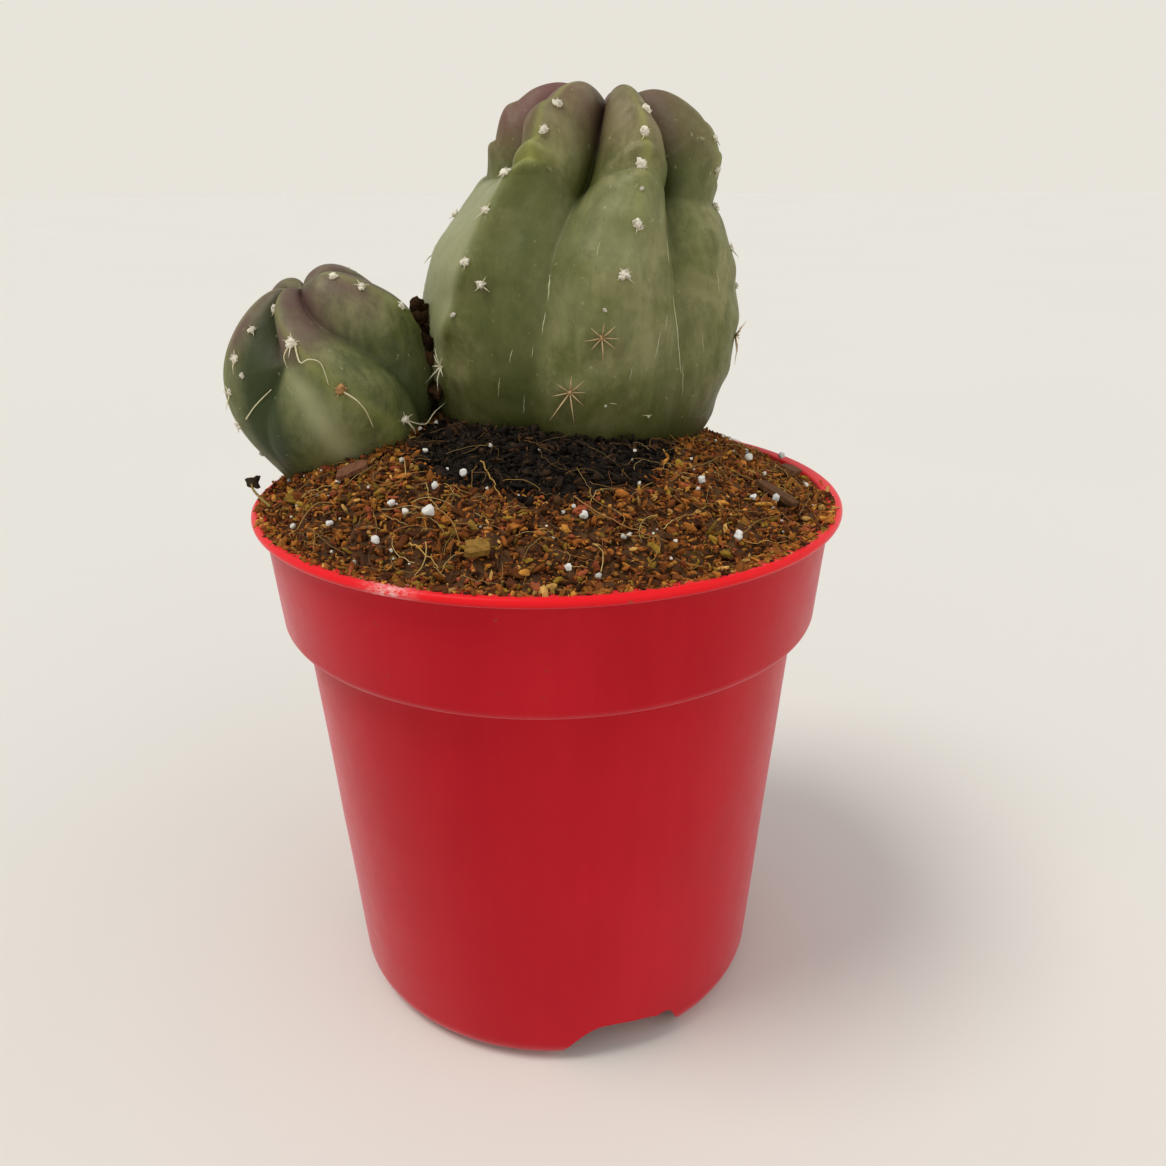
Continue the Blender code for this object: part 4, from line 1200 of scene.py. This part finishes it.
def add_star(batch, draw, spot, length, count, tone, down=1.6):
    """Stiff spines that radiate from one areole, those that point down the longest."""
    centre, out, up, side = spot
    start_turn = draw.uniform(0, 1)
    for k in range(count):
        turn = 2 * math.pi * (k + start_turn + draw.uniform(-0.2, 0.2)) / count
        way = math.cos(turn) * side + math.sin(turn) * up
        reach = length * draw.uniform(0.65, 1.0) * (down if math.sin(turn) < -0.75 else 1.0)
        tip = centre + way * reach + out * reach * draw.uniform(0.15, 0.45)
        middle = centre + way * reach * 0.5 + out * reach * 0.22
        batch.add(*needle([centre, middle, tip], SPINE_RADII, 5), tone * draw.uniform(0.8, 1.15))


def make_areoles(stem, offset, felt, spine):
    """All the wool in one piece, and all the spines and scratches in another."""
    wool, spines = Batch(), Batch()
    draw = np.random.default_rng(77)
    spots = list(MAIN_AREOLES)
    for crest in BACK_CRESTS:
        for height, kind in zip(BACK_HEIGHTS, BACK_KINDS):
            azimuth, height = crest + draw.uniform(-2, 2), height + draw.uniform(-1, 1)
            spots.append((azimuth, height, draw.uniform(1.5, 2.2), kind))
    for azimuth, height, size, kind in spots:
        add_areole(wool, spines, draw, stem.frame_at(azimuth, min(height, HIGHEST_AREOLE)), size, kind)
    for azimuth, along, size, kind in OFFSET_AREOLES:
        add_areole(wool, spines, draw, offset.frame_at(azimuth, along), size, kind)
    for stops, lift in CURLED_SPINES:
        spots = [offset.frame_at(*stop) for stop in stops]
        path = smooth_rows([spot[0] + spot[1] * rise for spot, rise in zip(spots, lift)], 5)
        spines.add(*needle(path, np.linspace(0.17, 0.08, len(path)), 5), PALE_SPINE * 1.1)
    for start, end, width in SCRATCHES:
        track = []
        for t in np.linspace(0, 1, 12):
            azimuth = start[0] + (end[0] - start[0]) * t + draw.uniform(-0.15, 0.15)
            spot = stem.frame_at(azimuth, start[1] + (end[1] - start[1]) * t)
            track.append(spot[0] - spot[1] * width * 0.2)
        radii = width * np.sin(np.linspace(0.15, math.pi - 0.15, 12)) * draw.uniform(0.6, 1.0, 12)
        spines.add(*needle(track, radii, 6), SCAR_TONE)
    wool.build("areole_wool", felt, "stem")
    spines.build("areole_spines", spine, "stem")


def add_areole(wool, spines, draw, spot, size, kind):
    """One areole: its wool, and its spines if the kind has any."""
    if kind == "scar":
        add_felt(wool, draw, spot, size, WOOL * 0.75)
        return
    if kind in ("star", "pale star"):
        tone = BROWN_SPINE if kind == "star" else PALE_SPINE
        add_felt(wool, draw, spot, size * 0.7, tone * 0.9)
        add_star(spines, draw, spot, 3.9, 8, tone * (1.15, 1.20, 1.35))
        return
    if kind == "brown":
        add_felt(wool, draw, spot, size, BROWN_WOOL)
        add_felt(wool, draw, spot, size * 0.55, TAN_WOOL)
        add_star(spines, draw, spot, 2.2, 5, BROWN_SPINE)
        return
    add_felt(wool, draw, spot, size, WOOL)
    add_star(spines, draw, spot, 1.3 if kind == "felt" else 2.1, 4, PALE_SPINE, 1.7)


CLEFT_SHADE_LEVELS = (8.0, 36.5, 0.8)  # over the lip: first, last, step
# near black: painted shade in the cleft between the stems
CLEFT_SHADE_TONE = np.array((0.045, 0.024, 0.010))


def make_cleft_shade(main_skin, offset_skin, material):
    """Dark lumps in the cleft where the two stems almost touch: painted shade that fills the gap."""
    draw = np.random.default_rng(91)
    batch = Batch()
    skins = []
    for skin in (main_skin, offset_skin):
        points = np.empty(len(skin.data.vertices) * 3)
        skin.data.vertices.foreach_get("co", points)
        skins.append(points.reshape(-1, 3) / MM - (AXIS_X, AXIS_Y, 0.0))
    shapes = crumb_shapes(2, 8, 900)
    first, last, step = CLEFT_SHADE_LEVELS
    for level in np.arange(POT_TOP + first, POT_TOP + last, step):
        near = [points[np.abs(points[:, 2] - level) < 0.6] for points in skins]
        gaps = np.linalg.norm(near[0][:, None] - near[1][None], axis=2)
        a, b = np.unravel_index(gaps.argmin(), gaps.shape)
        middle = (near[0][a] + near[1][b]) / 2
        for _ in range(6):
            shape, faces = shapes[draw.integers(len(shapes))]
            size = draw.uniform(1.6, 3.4)
            shift = draw.normal(size=3) * (0.5, 1.8, 0.5)
            tone = CLEFT_SHADE_TONE * draw.uniform(0.3, 1.8)
            batch.add(shape @ random_turn(draw).T * size + middle + shift, faces, tone)
    batch.build("cleft_shade", material, "bark")


# ---------------------------------------------------------------- stage

# The camera, fitted to the pot's outlines: place about the pot's axis on the floor, angles in degrees
CAMERA_PLACE = (0.0, -210.0, 173.9)
CAMERA_YAW = 1.910
CAMERA_PITCH = 22.008
CAMERA_ROLL = -0.329
CAMERA_LENS = 32.26
FLOOR_HALF = 6.0  # metres
FLOOR_TONES = ((0.733, 0.704, 0.641), (0.743, 0.714, 0.651))
SKY_LOW, SKY_HIGH = (0.806, 0.775, 0.708, 1.0), (0.54, 0.56, 0.60, 1.0)
SKY_CHANGE = (0.25, 0.60)  # how high the sky's colour starts and ends its change, 1 being overhead
# name, side it comes from, width in degrees, power, colour
SUNS = (
    ("key", (-0.46, -0.16, 1.0), 24.0, 1.515, (1.0, 0.985, 0.955)),
    ("fill", (0.85, -0.50, 0.48), 70.0, 0.55, (1.0, 0.99, 0.98)),
)


def make_camera():
    """The camera at the photograph's angle."""
    yaw, pitch, roll = (math.radians(v) for v in (CAMERA_YAW, CAMERA_PITCH, CAMERA_ROLL))
    forward = Vector((math.sin(yaw) * math.cos(pitch), math.cos(yaw) * math.cos(pitch), -math.sin(pitch)))
    right = Vector((math.cos(yaw), -math.sin(yaw), 0.0))
    up = right.cross(forward)
    cos, sin = math.cos(roll), math.sin(roll)
    right, up = cos * right + sin * up, cos * up - sin * right
    data = bpy.data.cameras.new("camera")
    data.lens = CAMERA_LENS
    data.sensor_width = 36.0
    data.clip_start = 0.01
    camera = add_object("camera", data)
    turn = Matrix((right, up, -forward)).transposed().to_4x4()
    place = Vector(CAMERA_PLACE) + Vector((AXIS_X, AXIS_Y, 0.0))
    camera.matrix_world = Matrix.Translation(place * MM) @ turn
    bpy.context.scene.camera = camera


def add_sun(name, place, width, power, colour):
    """Light from far away, from the side where place is, with a source so many degrees wide."""
    data = bpy.data.lights.new(name, "SUN")
    data.angle = math.radians(width)
    data.energy = power
    data.color = colour
    light = add_object(name, data)
    light.rotation_euler = (-Vector(place)).to_track_quat("-Z", "Y").to_euler()


def make_stage():
    """A plain pale floor, an even sky of the same colour near the horizon, and two soft suns."""
    mesh = bpy.data.meshes.new("floor")
    corners = [(x * FLOOR_HALF, y * FLOOR_HALF, 0) for x, y in ((-1, -1), (1, -1), (1, 1), (-1, 1))]
    mesh.from_pydata(corners, [], [(0, 1, 2, 3)])
    floor = add_object("floor", mesh)
    made = Shader("floor_paint", Roughness=0.9, Specular_IOR_Level=0.1)
    made.colour(made.ramp(made.noise(3.0, 2.0), (0.3, FLOOR_TONES[0]), (0.7, FLOOR_TONES[1])))
    mesh.materials.append(made.material)
    world = bpy.data.worlds.new("studio")
    world.use_nodes = True
    tree = world.node_tree
    way = tree.nodes.new("ShaderNodeSeparateXYZ")
    tree.links.new(tree.nodes.new("ShaderNodeTexCoord").outputs["Generated"], way.inputs["Vector"])
    height = tree.nodes.new("ShaderNodeMapRange")
    height.interpolation_type = "SMOOTHSTEP"
    height.inputs["From Min"].default_value, height.inputs["From Max"].default_value = SKY_CHANGE
    tree.links.new(way.outputs["Z"], height.inputs["Value"])
    blend = tree.nodes.new("ShaderNodeMix")
    blend.data_type = "RGBA"
    tree.links.new(height.outputs["Result"], blend.inputs[0])
    blend.inputs[6].default_value, blend.inputs[7].default_value = SKY_LOW, SKY_HIGH
    tree.links.new(blend.outputs[2], tree.nodes["Background"].inputs["Color"])
    bpy.context.scene.world = world
    for sun in SUNS:
        add_sun(*sun)
    bpy.context.scene.view_settings.view_transform = "Standard"


# ---------------------------------------------------------------- assembly


def main():
    make_camera()
    make_stage()
    make_pot()
    mix = toned_material("coir_mix", 0.95, 900.0, 0.0004)
    make_mix_surface(mix)
    scatter_crumbs("mix_crumbs_a", mix, 9800, (0.5, 1.35), 1, seed=21, lift=0.05)
    scatter_crumbs("mix_crumbs_b", mix, 9800, (0.5, 1.35), 1, seed=23, lift=0.25)
    scatter_crumbs("mix_crumbs_c", mix, 2400, (0.9, 2.1), 2, seed=22, lift=0.15)
    make_fibres(toned_material("coir_fibre", 0.75, 2500.0, 0.00005, 0.25, 0.2))
    make_perlite(toned_material("perlite_grain", 0.9, 2200.0, 0.00012, 0.12, 0.2))
    make_chips(toned_material("bark", 0.9, 1100.0, 0.0004, 0.4))
    stem, offset = MainStem(), OffsetStem()
    main_skin = stem.build(skin_material(
        "main_skin", green=(0.140, 0.150, 0.038), bloom=(0.255, 0.240, 0.105), deep=(0.062, 0.072, 0.014),
        purple=(0.165, 0.060, 0.060)))
    offset_skin = offset.build(skin_material(
        "offset_skin", green=(0.110, 0.125, 0.030), bloom=(0.235, 0.232, 0.098),
        deep=(0.030, 0.044, 0.010), purple=(0.145, 0.075, 0.070)))
    # dark lumps in the cleft as painted shade
    make_cleft_shade(main_skin, offset_skin, toned_material("cleft_shade", 0.95, 1500.0, 0.0004, 0.5, 0.05))
    felt = toned_material("areole_wool", 0.95, 3000.0, 0.0001, 0.15)
    spine = toned_material("spine_horn", 0.55, 2500.0, 0.00005, 0.2, 0.5)
    make_areoles(stem, offset, felt, spine)


main()
